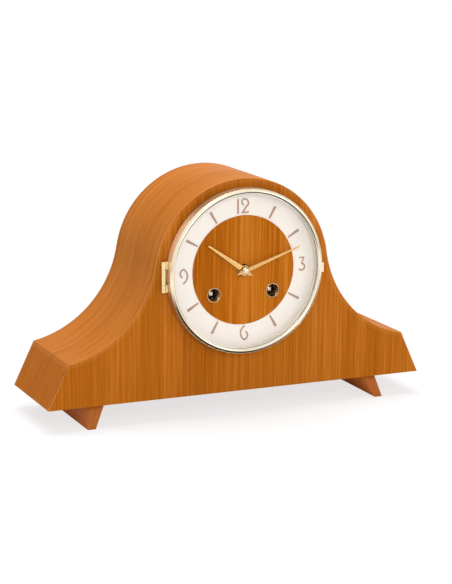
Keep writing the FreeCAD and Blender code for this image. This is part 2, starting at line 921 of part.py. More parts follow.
def make_door_hinges(half):
    """Makes the door's two hinges: the fixed halves with their pins and the halves that swing."""
    x = half - dim.door_gap / 2
    y = front_y + back_outer + dim.door_knuckle_radius + dim.running_fit
    middle = case_z + dim.door_sill + dim.door_height / 2
    whole = dim.door_hinge_length
    share = whole / 2 - dim.end_shake / 2
    bore_radius = dim.door_pin_radius + dim.running_fit
    fixed, swinging = [], []
    for index, rise in enumerate((-1, 1)):
        bottom = middle + rise * (dim.door_hinge_spread / 2) - whole / 2
        upper = bottom + whole / 2 + dim.end_shake / 2
        pin = cylinder(f"door_pin_{index}", dim.door_pin_radius, whole, (x, y, bottom), UPRIGHT)
        low_half = hinge_half(f"door_low_{index}", x, y, bottom, share, 1)
        fixed.append(fuse(f"door_fixed_{index}", low_half + [pin]))
        high_half = fuse(f"door_high_{index}", hinge_half(f"door_swing_{index}", x, y, upper, share, -1))
        bore = cylinder(f"door_bore_{index}", bore_radius, share, (x, y, upper), UPRIGHT)
        swinging.append(cut(f"door_swinging_{index}", high_half, bore))
    group("door_hinge_fixed", fixed)
    group("door_hinge_swinging", swinging)


# Dial and bezel

dial_axis = (0, front_y, dial_z)
skirt_reach = math.hypot(mm.bezel_hinge_offset + mm.bezel_wall, mm.bezel_hinge_depth - mm.bezel_lift)
skirt_swing = write_cell("skirt_swing", skirt_reach)
lip_outer = dim.bezel_radius + dim.bezel_hinge_offset - skirt_swing - dim.bezel_lip_gap
lip_inner = lip_outer - dim.ring_lip_width
dial_radius = lip_inner - dim.dial_edge_gap
winding_x = dim.winding_spread / 2
eyelet_outer = dim.eyelet_radius + dim.eyelet_wall


def make_dial():
    """Makes the ring that carries the dial, the dial's two layers, its markers and its eyelets."""
    turned("base_ring", dial_axis, [
        (dim.ring_inner_radius, 0),
        (lip_outer, 0),
        (lip_outer, -dim.ring_lip_height),
        (lip_inner, -dim.ring_lip_height),
        (lip_inner, -dim.ring_flange),
        (dim.ring_inner_radius, -dim.ring_flange),
    ])
    hole_size = eyelet_outer + dim.press_gap
    holes = [Round(side * winding_x, -dim.winding_drop, hole_size) for side in (-1, 1)]
    holes.append(Round(0, 0, dim.dial_hole_radius))
    dial_y = front_y + dial_face
    board("dial_plate", dim.dial_thickness, (0, dial_y, dial_z), Round(0, 0, dial_radius), *holes)
    disc_y = dial_y - dim.centre_disc_thickness
    disc = Round(0, 0, dim.centre_disc_radius)
    board("dial_centre", dim.centre_disc_thickness, (0, disc_y, dial_z), disc, *holes)
    make_markers()
    make_eyelets(disc_y)


def make_eyelets(disc_y):
    """Makes the two flanged sleeves that line the winding holes."""
    flange_size = eyelet_outer + dim.eyelet_flange
    rings = []
    depth = dim.centre_disc_thickness + dim.dial_thickness + dim.eyelet_tail
    for index, side in enumerate((-1, 1)):
        at = (side * winding_x, disc_y, dial_z - dim.winding_drop)
        front = (at[0], disc_y - dim.eyelet_thickness, at[2])
        sleeve = cylinder(f"eyelet_sleeve_{index}", eyelet_outer, depth, at)
        flange = cylinder(f"eyelet_flange_{index}", flange_size, dim.eyelet_thickness, front)
        bore = cylinder(f"eyelet_bore_{index}", dim.eyelet_radius, depth + dim.eyelet_thickness, front)
        rings.append(cut(f"eyelet_{index}", fuse(f"eyelet_solid_{index}", [sleeve, flange]), bore))
    group("winding_eyelets", rings)


def sector(x, z, radius, width, first, last):
    """The outline of a round stroke, between two angles in degrees."""
    first, last = math.radians(first), math.radians(last)
    centre = Vector(x, 0, z)
    outer, inner = radius + width / 2, radius - width / 2
    middle = (first + last) / 2
    return Part.Wire([
        arc(centre + spot(outer, first), centre + spot(outer, middle), centre + spot(outer, last)),
        line(centre + spot(outer, last), centre + spot(inner, last)),
        arc(centre + spot(inner, last), centre + spot(inner, middle), centre + spot(inner, first)),
        line(centre + spot(inner, first), centre + spot(outer, first)),
    ])


def stroke(x_start, z_start, x_end, z_end, width):
    """The outline of a straight stroke."""
    first, second = Vector(x_start, 0, z_start), Vector(x_end, 0, z_end)
    along = (second - first).normalize()
    aside = Vector(-along.z, 0, along.x) * (width / 2)
    return loop([first - aside, second - aside, second + aside, first + aside])


def bow(start, through, end, tall, width):
    """The outline of a round stroke through three points, given as shares of a figure's height."""
    points = [Vector(x * tall, 0, z * tall) for x, z in (start, through, end)]
    centre = arc(*points).Curve.Center
    asides = [(point - centre).normalize() * (width / 2) for point in points]
    outer = [point + aside for point, aside in zip(points, asides)]
    inner = [point - aside for point, aside in zip(points, asides)]
    return Part.Wire([
        arc(*outer),
        line(outer[2], inner[2]),
        arc(inner[2], inner[1], inner[0]),
        line(inner[0], outer[0]),
    ])


# the turns of the figures' strokes, as shares of their height or in degrees
HALF_TURN = 180
QUARTER_TURN = 90
ONE_WEIGHT = 1.1
ONE_SHIFT = -0.37
TWO_SHIFT = 0.16
TWO_HOOK = ((0.02, 0.47), (-0.24, 0.27), (-0.1, 0.07))
TWO_BACK = ((-0.02, 0.47), (0.23, 0.25), (0.14, -0.03))
TWO_HEEL = (-0.19, -0.45)
TWO_FOOT = 0.26
THREE_BOWL = 0.23
THREE_TURN = -150
THREE_TOP = 0.75
THREE_TOP_WEIGHT = 0.85
SIX_BACK = ((0.06, 0.5), (-0.25, -0.1), (0.03, -0.47))
SIX_HOOK = ((-0.03, -0.47), (0.25, -0.24), (0.1, 0.09))


def figure_one(tall, width):
    """The strokes of a one."""
    return [stroke(0, -tall / 2, 0, tall / 2, width * ONE_WEIGHT)]


def figure_two(tall, width):
    """The strokes of a two: a hook and a back that meet in a point, a slant and a foot."""
    foot = width / 2 - tall / 2
    bend = TWO_BACK[2]
    return [
        bow(*TWO_HOOK, tall, width),
        bow(*TWO_BACK, tall, width),
        stroke(bend[0] * tall, bend[1] * tall + width / 2, TWO_HEEL[0] * tall, TWO_HEEL[1] * tall, width),
        stroke(-TWO_FOOT * tall, foot, TWO_FOOT * tall, foot, width),
    ]


def figure_three(tall, width):
    """The strokes of a three with a flat top."""
    bowl = tall * THREE_BOWL
    middle = -tall / 2 + bowl + width / 2
    top = tall / 2 - width / 2
    side = bowl * THREE_TOP
    thin = width * THREE_TOP_WEIGHT
    return [
        stroke(-side, top, side + width / 4, top, thin),
        stroke(side, top, 0, middle + bowl - width / 4, thin),
        sector(0, middle, bowl, width, THREE_TURN, QUARTER_TURN),
    ]


def figure_six(tall, width):
    """The strokes of a six: a long back and a short hook that meet in a point at the foot."""
    return [bow(*SIX_BACK, tall, width), bow(*SIX_HOOK, tall, width)]


def make_markers():
    """Raises the four figures and eight batons on the chapter plate."""
    top = dial_face.value - mm.marker_thickness
    bottom = dial_face.value
    solids = []
    for hour in (1, 2, 4, 5, 7, 8, 10, 11):
        angle = math.radians(90 - 30 * hour)
        inner = spot(mm.marker_inner_radius, angle)
        outer = spot(mm.marker_inner_radius + mm.marker_length, angle)
        inner_half = spot(mm.marker_inner_width / 2, angle + math.pi / 2)
        outer_half = spot(mm.marker_outer_width / 2, angle + math.pi / 2)
        corners = [inner - inner_half, outer - outer_half, outer + outer_half, inner + inner_half]
        solids.append(slab([loop(corners)], top, bottom))
    tall, width = mm.figure_height, mm.figure_stroke
    six = figure_six(tall, width)
    nine = [wire.copy() for wire in six]
    for wire in nine:
        wire.rotate(Vector(), Vector(0, 1, 0), HALF_TURN)
    figures = (
        (figure_one(tall, width), tall * ONE_SHIFT, mm.figure_radius),
        (figure_two(tall, width), tall * TWO_SHIFT, mm.figure_radius),
        (figure_three(tall, width), mm.figure_radius, 0),
        (six, 0, -mm.figure_radius),
        (nine, -mm.figure_radius, 0),
    )
    for wires, x, z in figures:
        strokes = [slab([wire], top, bottom) for wire in wires]
        figure = strokes[0].fuse(strokes[1:]).removeSplitter() if len(strokes) > 1 else strokes[0]
        figure.translate(Vector(x, 0, z))
        solids.append(figure)
    markers = doc.addObject("Part::Feature", "hour_markers")
    markers.Shape = Part.makeCompound(solids)
    keep(place(markers, dial_axis, Rotation(Vector(0, 1, 0), DIAL_TURN)))


# where the rounded crown of the bezel starts and ends, as angles round its section
CROWN_OUTER = math.radians(20)
CROWN_INNER = math.radians(40)


def make_bezel():
    """Turns the brass ring with its rounded crown, the seat for the glass and the skirt behind it."""
    seat = glass_edge + dim.glass_gap
    inner_wall = dim.bezel_radius - dim.bezel_wall
    seat_back = glass_seat_front - dim.glass_thickness - dim.retainer_thickness - dim.glass_gap
    crown = write_cell("bezel_crown_radius", mm.bezel_rim / (math.cos(CROWN_OUTER) + math.cos(CROWN_INNER)))
    crown_x = shoulder_radius - math.cos(CROWN_OUTER) * crown
    crown_y = crown - crown_depth
    turned("bezel_ring", dial_axis, [
        (inner_wall, -dim.bezel_lift),
        (dim.bezel_radius, -dim.bezel_lift),
        (shoulder_radius, crown_y - math.sin(CROWN_OUTER) * crown, Bend(crown_x, crown_y, crown, False)),
        (rim_radius, crown_y - math.sin(CROWN_INNER) * crown),
        (rim_radius, -glass_seat_front),
        (seat, -glass_seat_front),
        (seat, -seat_back),
        (inner_wall, -seat_back),
    ])
    make_glass()
    make_bezel_hinge()


def make_glass():
    """Turns the domed glass and the ring that holds it in the bezel."""
    inside = dim.glass_curve - dim.glass_thickness
    front, rear = [glass_centre.value - glass_reach(glass_edge, r) for r in (mm.glass_curve, inside.value)]
    edge_front = write_cell("glass_edge_front", front)
    edge_rear = write_cell("glass_edge_rear", rear)
    turned("bezel_glass", dial_axis, [
        (0, glass_apex, Bend(0, glass_centre, dim.glass_curve, True)),
        (glass_edge, edge_front),
        (glass_edge, edge_rear, Bend(0, glass_centre, inside, False)),
        (0, glass_apex + dim.glass_thickness),
    ])
    ring_front = edge_rear + dim.glass_gap
    turned("glass_retainer", dial_axis, [
        (glass_edge, ring_front),
        (glass_edge, ring_front + dim.retainer_thickness),
        (glass_edge - dim.retainer_width, ring_front + dim.retainer_thickness),
        (glass_edge - dim.retainer_width, ring_front),
    ])


hinge_x = -(dim.bezel_radius + dim.bezel_hinge_offset)
hinge_y = front_y - dim.bezel_hinge_depth


def make_bezel_hinge():
    """Makes the three-knuckle hinge at the left of the bezel, and the finger tab at its right."""
    half = dim.bezel_hinge_length / 2
    middle = dim.bezel_middle_knuckle / 2
    bore_radius = dim.bezel_pin_radius + dim.running_fit
    whole = dim.bezel_hinge_length
    pin_at = (hinge_x, hinge_y, dial_z - half)

    def knuckle(label, bottom, length):
        at = (hinge_x, hinge_y, dial_z + bottom)
        return cylinder(label, dim.bezel_knuckle_radius, length, at, UPRIGHT)

    def bored(label, pieces):
        bore = cylinder(f"{label}_bore", bore_radius, whole, pin_at, UPRIGHT)
        return cut(label, fuse(f"{label}_solid", pieces), bore)

    crown_at = (0, front_y - crown_depth, dial_z)
    outside = cylinder("bezel_outside", dim.bezel_radius + dim.press_gap, crown_depth, crown_at)
    end_length = half - middle - dim.bezel_knuckle_gap
    ends = []
    for index, bottom in enumerate((middle + dim.bezel_knuckle_gap, -half)):
        leaf = box(
            f"hinge_leaf_block_{index}",
            (dim.bezel_hinge_offset + dim.bezel_wall, dim.bezel_leaf_thickness, end_length),
            (hinge_x, hinge_y - dim.bezel_leaf_thickness / 2, dial_z + bottom),
        )
        fitted_leaf = cut(f"hinge_leaf_{index}", leaf, outside)
        tube = knuckle(f"hinge_tube_{index}", bottom, end_length)
        ends.append(bored(f"hinge_end_{index}", [tube, fitted_leaf]))
    group("bezel_hinge_knuckle", ends)
    web_width = dim.bezel_leaf_thickness
    sole_height = dim.bezel_sole_thickness
    sole_width = 2 * dim.bezel_knuckle_radius
    low = dial_z - middle
    web_x = hinge_x + dim.bezel_web_shift
    web_at = (web_x - web_width / 2, hinge_y, low)
    web = box("hinge_web", (web_width, dim.bezel_hinge_depth, 2 * middle), web_at)
    sole_at = (web_x - sole_width / 2, front_y - sole_height, low)
    sole = box("hinge_sole", (sole_width, sole_height, 2 * middle), sole_at)
    keep(bored("bezel_hinge_base", [knuckle("hinge_middle", -middle, 2 * middle), web, sole]))
    keep(cylinder("bezel_hinge_pin", dim.bezel_pin_radius, whole, pin_at, UPRIGHT))
    tab_low = dial_z - dim.tab_drop - dim.tab_length / 2
    tab_block = box(
        "bezel_tab_block",
        (dim.tab_reach + dim.bezel_wall, dim.tab_thickness, dim.tab_length),
        (dim.bezel_radius - dim.bezel_wall, hinge_y - dim.tab_thickness / 2, tab_low),
    )
    keep(cut("bezel_tab", tab_block, outside))


# Hands and motion work

cannon_inner = mm.centre_arbor_radius + mm.running_fit
cannon_outer = cannon_inner + mm.cannon_wall
pipe_inner = cannon_outer + mm.running_fit
pipe_outer = pipe_inner + mm.hour_pipe_wall
hour_hand_rear = dial_face.value - mm.centre_disc_thickness - mm.hour_hand_lift
hour_hand_front = hour_hand_rear - mm.hand_thickness
minute_hand_rear = hour_hand_front - mm.hand_spacing
minute_hand_front = minute_hand_rear - mm.hand_thickness
minute_wheel_depth = mm.hour_wheel_depth + mm.motion_spacing


def hand_solid(length, width, hub, bore, clock_degrees, front, rear):
    """A slim tapered hand with a pointed tail, turned to its place on the dial."""
    angle = math.radians(90 - clock_degrees)
    across = angle + math.pi / 2

    def at(along, aside):
        return spot(along, angle) + spot(aside, across)

    tip = mm.hand_tip_width / 2
    blade = [
        at(-mm.hand_tail, 0),
        at(-hub / 2, -width / 2 - mm.hand_swell),
        at(hub, -width / 2),
        at(length, -tip),
        at(length, tip),
        at(hub, width / 2),
        at(-hub / 2, width / 2 + mm.hand_swell),
    ]
    hand = slab([loop(blade)], front, rear).fuse(bar(hub, front, rear)).removeSplitter()
    return hand.cut(bar(bore, front - mm.hand_thickness, rear + mm.hand_thickness))


def make_hands():
    """Makes the two hands at the time shown, the nut that holds them and the motion work behind."""
    minute_degrees = 360 * (HOURS_SHOWN % 1) + DIAL_TURN
    hour_degrees = 30 * HOURS_SHOWN + DIAL_TURN
    fit = mm.press_gap
    hub = (0, 0)
    hour_hub = pipe_outer + mm.hour_hub_margin
    minute_hub = cannon_outer + mm.minute_hub_margin
    hour_sizes = (mm.hour_hand_length, mm.hour_hand_width, hour_hub, pipe_outer + fit)
    hour_hand = hand_solid(*hour_sizes, hour_degrees, hour_hand_front, hour_hand_rear)
    shaped("hour_hand", hub, [hour_hand])
    minute_sizes = (mm.minute_hand_length, mm.minute_hand_width, minute_hub, cannon_outer + fit)
    minute_hand = hand_solid(*minute_sizes, minute_degrees, minute_hand_front, minute_hand_rear)
    shaped("minute_hand", hub, [minute_hand])
    make_hand_nut()
    make_motion_work()


def make_hand_nut():
    """Turns the domed nut that holds the minute hand on."""
    bore = dim.centre_arbor_radius + dim.running_fit
    base = write_cell("hand_nut_base", minute_hand_front - mm.press_gap)
    crown = write_cell("hand_nut_crown", minute_hand_front - mm.hand_nut_height)
    flat = dim.hand_nut_flat
    rise = base.value - flat.value - crown.value
    spread = math.sqrt(mm.hand_nut_dome**2 - (mm.hand_nut_dome - rise) ** 2)
    shoulder = write_cell("hand_nut_shoulder", spread)
    dome_y = write_cell("hand_nut_dome_y", crown.value + mm.hand_nut_dome)
    turned("hand_nut", dial_axis, [
        (0, crown, Bend(0, dome_y, dim.hand_nut_dome, True)),
        (shoulder, base - flat),
        (dim.hand_nut_radius, base - flat),
        (dim.hand_nut_radius, base),
        (bore, base),
        (bore, base - flat),
        (0, base - flat),
    ])


def make_motion_work():
    """Makes the pinion and wheels that drive the hour hand at a twelfth of the minute hand's speed."""
    hour_module = 2 * motion_reach / (MINUTE_PINION_TEETH + HOUR_TEETH)
    heading = math.radians(MINUTE_WHEEL_DIRECTION)
    wheel_phase = mesh(CANNON_TEETH, 0.0, heading, MINUTE_TEETH)
    hour_phase = mesh(MINUTE_PINION_TEETH, wheel_phase, heading + math.pi, HOUR_TEETH)
    depth = minute_wheel_depth
    thick = mm.wheel_thickness
    pinion_start = mm.hour_wheel_depth - mm.pinion_overlap
    cannon = pinion(CANNON_TEETH, mm.motion_module, 0.0, *facing(depth))
    pipe = bar(cannon_outer, minute_hand_front, plate_front.value - mm.end_shake)
    bore = bar(cannon_inner, minute_hand_front - 1, plate_front.value + 1)
    shaped("cannon_pinion", (0, 0), [pipe.fuse(cannon).cut(bore)])
    stud_bore = bar(mm.stud_radius + mm.running_fit, pinion_start - 1, depth + thick + 1)
    minute = wheel(MINUTE_TEETH, mm.motion_module, wheel_phase, depth)
    minute = minute.fuse(pinion(MINUTE_PINION_TEETH, hour_module, wheel_phase, pinion_start, depth))
    shaped("minute_wheel", minute_stud, [minute.cut(stud_bore)])
    hour = wheel(HOUR_TEETH, hour_module, hour_phase, mm.hour_wheel_depth)
    hour = hour.fuse(bar(pipe_outer, hour_hand_front, mm.hour_wheel_depth + thick))
    hour = hour.cut(bar(pipe_inner, hour_hand_front - 1, mm.hour_wheel_depth + thick + 1))
    shaped("hour_wheel", (0, 0), [hour])


# Movement: where the arbors stand, counted from the middle of the dial

CENTRE = (0.0, 0.0)
going_barrel = (mm.winding_spread / 2, -mm.winding_drop)
strike_barrel = (-mm.winding_spread / 2, -mm.winding_drop)
great_reach = mesh_distance(GREAT_TEETH, PINION_TEETH, mm.great_module)
second_reach = mesh_distance(SECOND_TEETH, PINION_TEETH, mm.second_module)
intermediate = meeting_point(going_barrel, great_reach, CENTRE, second_reach)
if intermediate[1] < going_barrel[1] / 2:
    intermediate = meeting_point(CENTRE, second_reach, going_barrel, great_reach)
third = step_from(CENTRE, mesh_distance(CENTRE_TEETH, PINION_TEETH, mm.centre_module), THIRD_DIRECTION)
fourth = step_from(third, mesh_distance(THIRD_TEETH, PINION_TEETH, mm.third_module), FOURTH_DIRECTION)
escape = step_from(fourth, mesh_distance(FOURTH_TEETH, PINION_TEETH, mm.fourth_module), ESCAPE_DIRECTION)
pallet = (escape[0] - mm.pallet_distance, escape[1])
balance = (pallet[0] - mm.balance_distance, pallet[1])
strike_second = step_from(strike_barrel, great_reach, STRIKE_SECOND_DIRECTION)
strike_third = step_from(strike_second, second_reach, STRIKE_THIRD_DIRECTION)
locking = step_from(
    strike_third, mesh_distance(STRIKE_THIRD_TEETH, PINION_TEETH, mm.strike_third_module), LOCKING_DIRECTION
)
fly = step_from(locking, mesh_distance(LOCKING_TEETH, PINION_TEETH, mm.locking_module), FLY_DIRECTION)
count = step_from(
    strike_second, mesh_distance(COUNT_PINION_TEETH, COUNT_TEETH, mm.count_module), COUNT_DIRECTION
)
count_nose = step_from(count, mm.count_disc_radius + mm.contact_gap, COUNT_NOSE_DIRECTION)
lever_pivot = (count_nose[0] - mm.count_lever_reach, count_nose[1] + 2 * mm.arbor_radius)
hammer = (0.0, -(mm.plate_height / 2 - mm.pillar_inset))
motion_reach = mesh_distance(CANNON_TEETH, MINUTE_TEETH, mm.motion_module)
minute_stud = step_from(CENTRE, motion_reach, MINUTE_WHEEL_DIRECTION)
click_pivots = {
    side: (side * (mm.winding_spread / 2 + mm.click_aside), mm.click_rise - mm.winding_drop)
    for side in (-1, 1)
}

# Movement: the layers between and behind the plates

front_face = plate_front.value
inner_face = plate_inner.value
rear_face = rear_inner.value
outer_face = rear_outer.value


def layer_at(share):
    """A depth between the plates, as a share of the space between them."""
    return inner_face + mm.plate_spacing * share


drum_front = layer_at(0.1)
third_layer = layer_at(0.23)
centre_layer = layer_at(0.38)
pin_layer = layer_at(0.54)
fourth_layer = layer_at(0.58)
great_rear = layer_at(0.82)
second_layer = layer_at(0.885)
great_front = great_rear - mm.great_wheel_thickness
tail_layer = (great_rear + mm.contact_gap, second_layer - mm.contact_gap)
escape_layer = outer_face + 2 * mm.wheel_thickness
count_layer = outer_face + mm.contact_gap * 3
ratchet_layer = front_face - mm.contact_gap - mm.ratchet_thickness
pillar_places = [
    (side * (dim.plate_width / 2 - dim.pillar_inset), rise * (dim.plate_height / 2 - dim.pillar_inset))
    for side in (-1, 1)
    for rise in (-1, 1)
]


def make_frame():
    """Makes the two plates with a bearing for every arbor, and what holds them together and to the case."""
    fit = mm.running_fit
    both = [(at, mm.pivot_radius + fit) for at in (
        intermediate, third, fourth, escape, strike_second, strike_third, locking, fly, hammer
    )]
    barrels = [(at, mm.winding_round_radius + fit) for at in (going_barrel, strike_barrel)]
    staffs = [(at, mm.pivot_radius + fit) for at in (pallet, balance)]
    centre = [(CENTRE, mm.centre_arbor_radius + fit)]
    front_end = mm.hour_wheel_depth - mm.wheel_thickness
    front_studs = [(minute_stud, front_end)]
    front_studs += [(at, ratchet_layer - mm.contact_gap) for at in click_pivots.values()]
    rear_end = count_layer + 3 * mm.wheel_thickness
    rear_studs = [(count, rear_end), (lever_pivot, rear_end)]
    make_plate("front_plate", plate_front, both + barrels + centre, front_studs, post_places)
    make_plate("back_plate", rear_inner, both + barrels + centre + staffs, rear_studs, [])
    make_pillars()
    make_posts()


def make_plate(label, depth, bearings, studs, screws):
    """Makes one plate with its holes, and the studs riveted in it for what turns outside the plates."""
    half_x, half_z, snip = dim.plate_width / 2, dim.plate_height / 2, dim.plate_corner
    outline = [
        (-half_x + snip, -half_z),
        (half_x - snip, -half_z),
        (half_x, -half_z + snip),
        (half_x, half_z - snip),
        (half_x - snip, half_z),
        (-half_x + snip, half_z),
        (-half_x, half_z - snip),
        (-half_x, -half_z + snip),
    ]
    holes = []
    for index, (at, radius) in enumerate(bearings):
        names = [write_cell(f"{label}_{axis}_{index}_at", value) for axis, value in zip("xz", at)]
        holes.append(Round(names[0], names[1], write_cell(f"{label}_bearing_{index}_size", radius)))
    holes += [Round(x, z, dim.pillar_tenon_radius + dim.press_gap) for x, z in pillar_places]
    holes += [Round(x, z, dim.post_screw_radius + dim.press_gap) for x, z in screws]
    plate_at = (0, front_y + depth, dial_z)
    pieces = [flat_body(f"{label}_sheet", dim.plate_thickness, plate_at, outline, *holes)]
    for index, (at, end) in enumerate(studs):
        low, high = sorted((end, depth.value + mm.plate_thickness / 2))
        start = write_cell(f"{label}_stud_{index}_start", low)
        length = write_cell(f"{label}_stud_{index}_length", high - low)
        stud_at = (at[0], front_y + start, dial_z + at[1])
        pieces.append(cylinder(f"{label}_stud_{index}", dim.stud_radius, length, stud_at))
    keep(fuse(label, pieces))


def make_pillars():
    """Makes the pillars that hold the plates apart and the nuts behind them."""
    pillars, nuts = [], []
    for index, (x, z) in enumerate(pillar_places):
        at = (x, front_y + plate_inner, dial_z + z)
        body = cylinder(f"pillar_body_{index}", dim.pillar_radius, dim.plate_spacing, at)
        tenon_length = dim.plate_spacing + 2 * dim.plate_thickness + dim.pillar_nut_height
        at = (x, front_y + plate_front, dial_z + z)
        tenon = cylinder(f"pillar_tenon_{index}", dim.pillar_tenon_radius, tenon_length, at)
        pillars.append(fuse(f"pillar_{index}", [body, tenon]))
        nut = doc.addObject("Part::Prism", f"pillar_nut_body_{index}")
        nut.Polygon = 6
        bind(nut, "Circumradius", dim.pillar_nut_radius)
        bind(nut, "Height", dim.pillar_nut_height)
        place(nut, (x, front_y + rear_outer, dial_z + z), ALONG_Y)
        bore = cylinder(
            f"pillar_nut_bore_{index}",
            dim.pillar_tenon_radius + dim.press_gap,
            dim.pillar_nut_height,
            (x, front_y + rear_outer, dial_z + z),
        )
        nuts.append(cut(f"pillar_nut_{index}", nut, bore))
    group("plate_pillars", pillars)
    group("pillar_nuts", nuts)


def make_posts():
    """Makes the posts and screws that hold the movement against the front board."""
    posts, screws = [], []
    bore_radius = dim.post_screw_radius + dim.press_gap
    for index, (x, z) in enumerate(post_places):
        at = (x, front_y + dim.front_thickness, dial_z + z)
        post = cylinder(f"post_body_{index}", dim.post_radius, dim.post_length, at)
        bore = cylinder(f"post_bore_{index}", bore_radius, dim.post_length, at)
        posts.append(cut(f"post_{index}", post, bore))
        head_at = (x, front_y + plate_inner, dial_z + z)
        head = cylinder(f"screw_head_{index}", dim.post_screw_head_radius, dim.post_screw_head, head_at)
        start = front_y + dim.front_thickness / 4
        shank_length = plate_inner - dim.front_thickness / 4
        shank_at = (x, start, dial_z + z)
        shank = cylinder(f"screw_shank_{index}", dim.post_screw_radius, shank_length, shank_at)
        screws.append(fuse(f"screw_{index}", [head, shank]))
    group("movement_posts", posts)
    group("movement_screws", screws)


# Movement: barrels and winding work, the same on both sides

RATCHET_UNDERCUT = 0.12
CLICK_SWEEP = 0.75


def make_barrel(name, at, phase):
    """Makes a spring barrel: a drum closed by a cap in front and by the great wheel behind."""
    bore = mm.barrel_arbor_radius + mm.running_fit
    wall = mm.barrel_wall
    teeth = slab([gear_wire(GREAT_TEETH, mm.great_module, phase), ring_wire(bore)], great_front, great_rear)
    drum = slab([ring_wire(mm.barrel_radius), ring_wire(mm.barrel_radius - wall)], drum_front, great_front)
    cap = slab([ring_wire(mm.barrel_radius), ring_wire(bore)], drum_front, drum_front + wall)
    shaped(f"{name}_barrel", at, [teeth, drum, cap])


def make_winding(name, at, side):
    """Makes a winding arbor with its square and ratchet, and the click beside it."""
    half = mm.winding_square / 2
    square = [Vector(x, 0, z) for x, z in ((half, half), (-half, half), (-half, -half), (half, -half))]
    ratchet_rear = ratchet_layer + mm.ratchet_thickness
    step = 2 * math.pi / RATCHET_TEETH
    points = []
    for tooth in range(RATCHET_TEETH):
        angle = tooth * step
        points.append(spot(mm.ratchet_radius, side * angle))
        points.append(spot(mm.ratchet_radius - mm.ratchet_tooth, side * (angle + step * RATCHET_UNDERCUT)))
    shaped(f"{name}_arbor", at, [
        bar(mm.barrel_arbor_radius, inner_face + mm.end_shake, rear_face - mm.end_shake),
        bar(mm.winding_round_radius, ratchet_rear, outer_face),
        slab([loop(points)], ratchet_layer, ratchet_rear),
        slab([loop(square)], mm.winding_tip_depth, ratchet_layer),
    ])
    pivot = click_pivots[side]
    to_arbor = offset(pivot, at)
    heading = math.atan2(to_arbor.z, to_arbor.x)
    nose = to_arbor + spot(mm.ratchet_radius + mm.contact_gap, heading + math.pi - side * CLICK_SWEEP)
    heel = spot(mm.click_boss_radius - mm.contact_gap, heading + side * math.pi / 2)
    boss = slab([ring_wire(mm.click_boss_radius)], ratchet_layer, ratchet_rear)
    click = boss.fuse(slab([loop([heel, -heel, nose])], ratchet_layer, ratchet_rear))
    around = bar(mm.ratchet_radius + mm.contact_gap, ratchet_layer - 1, front_face, to_arbor.x, to_arbor.z)
    bore = bar(mm.stud_radius + mm.running_fit, ratchet_layer - 1, front_face)
    shaped(f"{name}_click", pivot, [click.cut(around).cut(bore)])


# Movement: going train


def make_going_train():
    """Makes the wheels from the going barrel up to the escapement."""
    great_phase = 0.0
    make_barrel("going", going_barrel, great_phase)
    make_winding("going", going_barrel, 1)
    toward = direction_of(going_barrel, intermediate)
    phase = mesh(GREAT_TEETH, great_phase, toward, PINION_TEETH)
    shaped("intermediate_wheel", intermediate, arbor(front_face, outer_face) + [
        pinion(PINION_TEETH, mm.great_module, phase, great_front - mm.pinion_overlap, second_layer),
        wheel(SECOND_TEETH, mm.second_module, phase, second_layer),
    ])
    phase = mesh(SECOND_TEETH, phase, direction_of(intermediate, CENTRE), PINION_TEETH)
    centre_bar = bar(mm.centre_arbor_radius, minute_hand_front, outer_face)
    shaped("centre_wheel", CENTRE, [
        centre_bar,
        pinion(PINION_TEETH, mm.second_module, phase, *facing(second_layer)),
        wheel(CENTRE_TEETH, mm.centre_module, phase, centre_layer, spokes=5),
    ])
    phase = mesh(CENTRE_TEETH, phase, math.radians(THIRD_DIRECTION), PINION_TEETH)
    shaped("third_wheel", third, arbor(front_face, outer_face) + [
        pinion(PINION_TEETH, mm.centre_module, phase, third_layer, facing(centre_layer)[1]),
        wheel(THIRD_TEETH, mm.third_module, phase, third_layer),
    ])
    phase = mesh(THIRD_TEETH, phase, math.radians(FOURTH_DIRECTION), PINION_TEETH)
    shaped("fourth_wheel", fourth, arbor(front_face, outer_face) + [
        pinion(PINION_TEETH, mm.third_module, phase, *facing(third_layer)),
        wheel(FOURTH_TEETH, mm.fourth_module, phase, fourth_layer),
    ])
    phase = mesh(FOURTH_TEETH, phase, math.radians(ESCAPE_DIRECTION), PINION_TEETH)
    make_escapement(phase)


# corners of an escape tooth as shares of its step, and how far the pallet arms lean back, in degrees
TOOTH_TIP = 0.3
TOOTH_HEEL = 0.42
TOOTH_FOOT = 0.6
PALLET_LEAN = 6

roller_layer = escape_layer + mm.wheel_thickness + mm.contact_gap
balance_layer = roller_layer + mm.wheel_thickness + 2 * mm.contact_gap
hairspring_layer = balance_layer + mm.balance_thickness + 2 * mm.contact_gap
bridge_layer = hairspring_layer + 4 * mm.contact_gap


def make_escapement(phase):
    """Makes the escape wheel, pallet lever and balance behind the back plate."""
    tip, root = mm.escape_radius, mm.escape_radius - mm.escape_tooth
    step = 2 * math.pi / ESCAPE_TEETH
    points = []
    for tooth in range(ESCAPE_TEETH):
        angle = tooth * step
        points.append(spot(root, angle))
        points.append(spot(tip, angle + step * TOOTH_TIP))
        points.append(spot(tip, angle + step * TOOTH_HEEL))
        points.append(spot(root, angle + step * TOOTH_FOOT))
    openings = windows(mm.escape_hub_radius, root - mm.wheel_rim, 4, mm.escape_spoke_width)
    shaped("escape_wheel", escape, arbor(front_face, bridge_layer + mm.bridge_thickness) + [
        bar(mm.arbor_radius, outer_face + mm.end_shake, bridge_layer - mm.end_shake),
        pinion(PINION_TEETH, mm.fourth_module, phase, *facing(fourth_layer)),
        slab([loop(points)] + openings, escape_layer, escape_layer + mm.wheel_thickness),
    ])
    make_pallet_lever()
    make_balance()
    make_bridge()


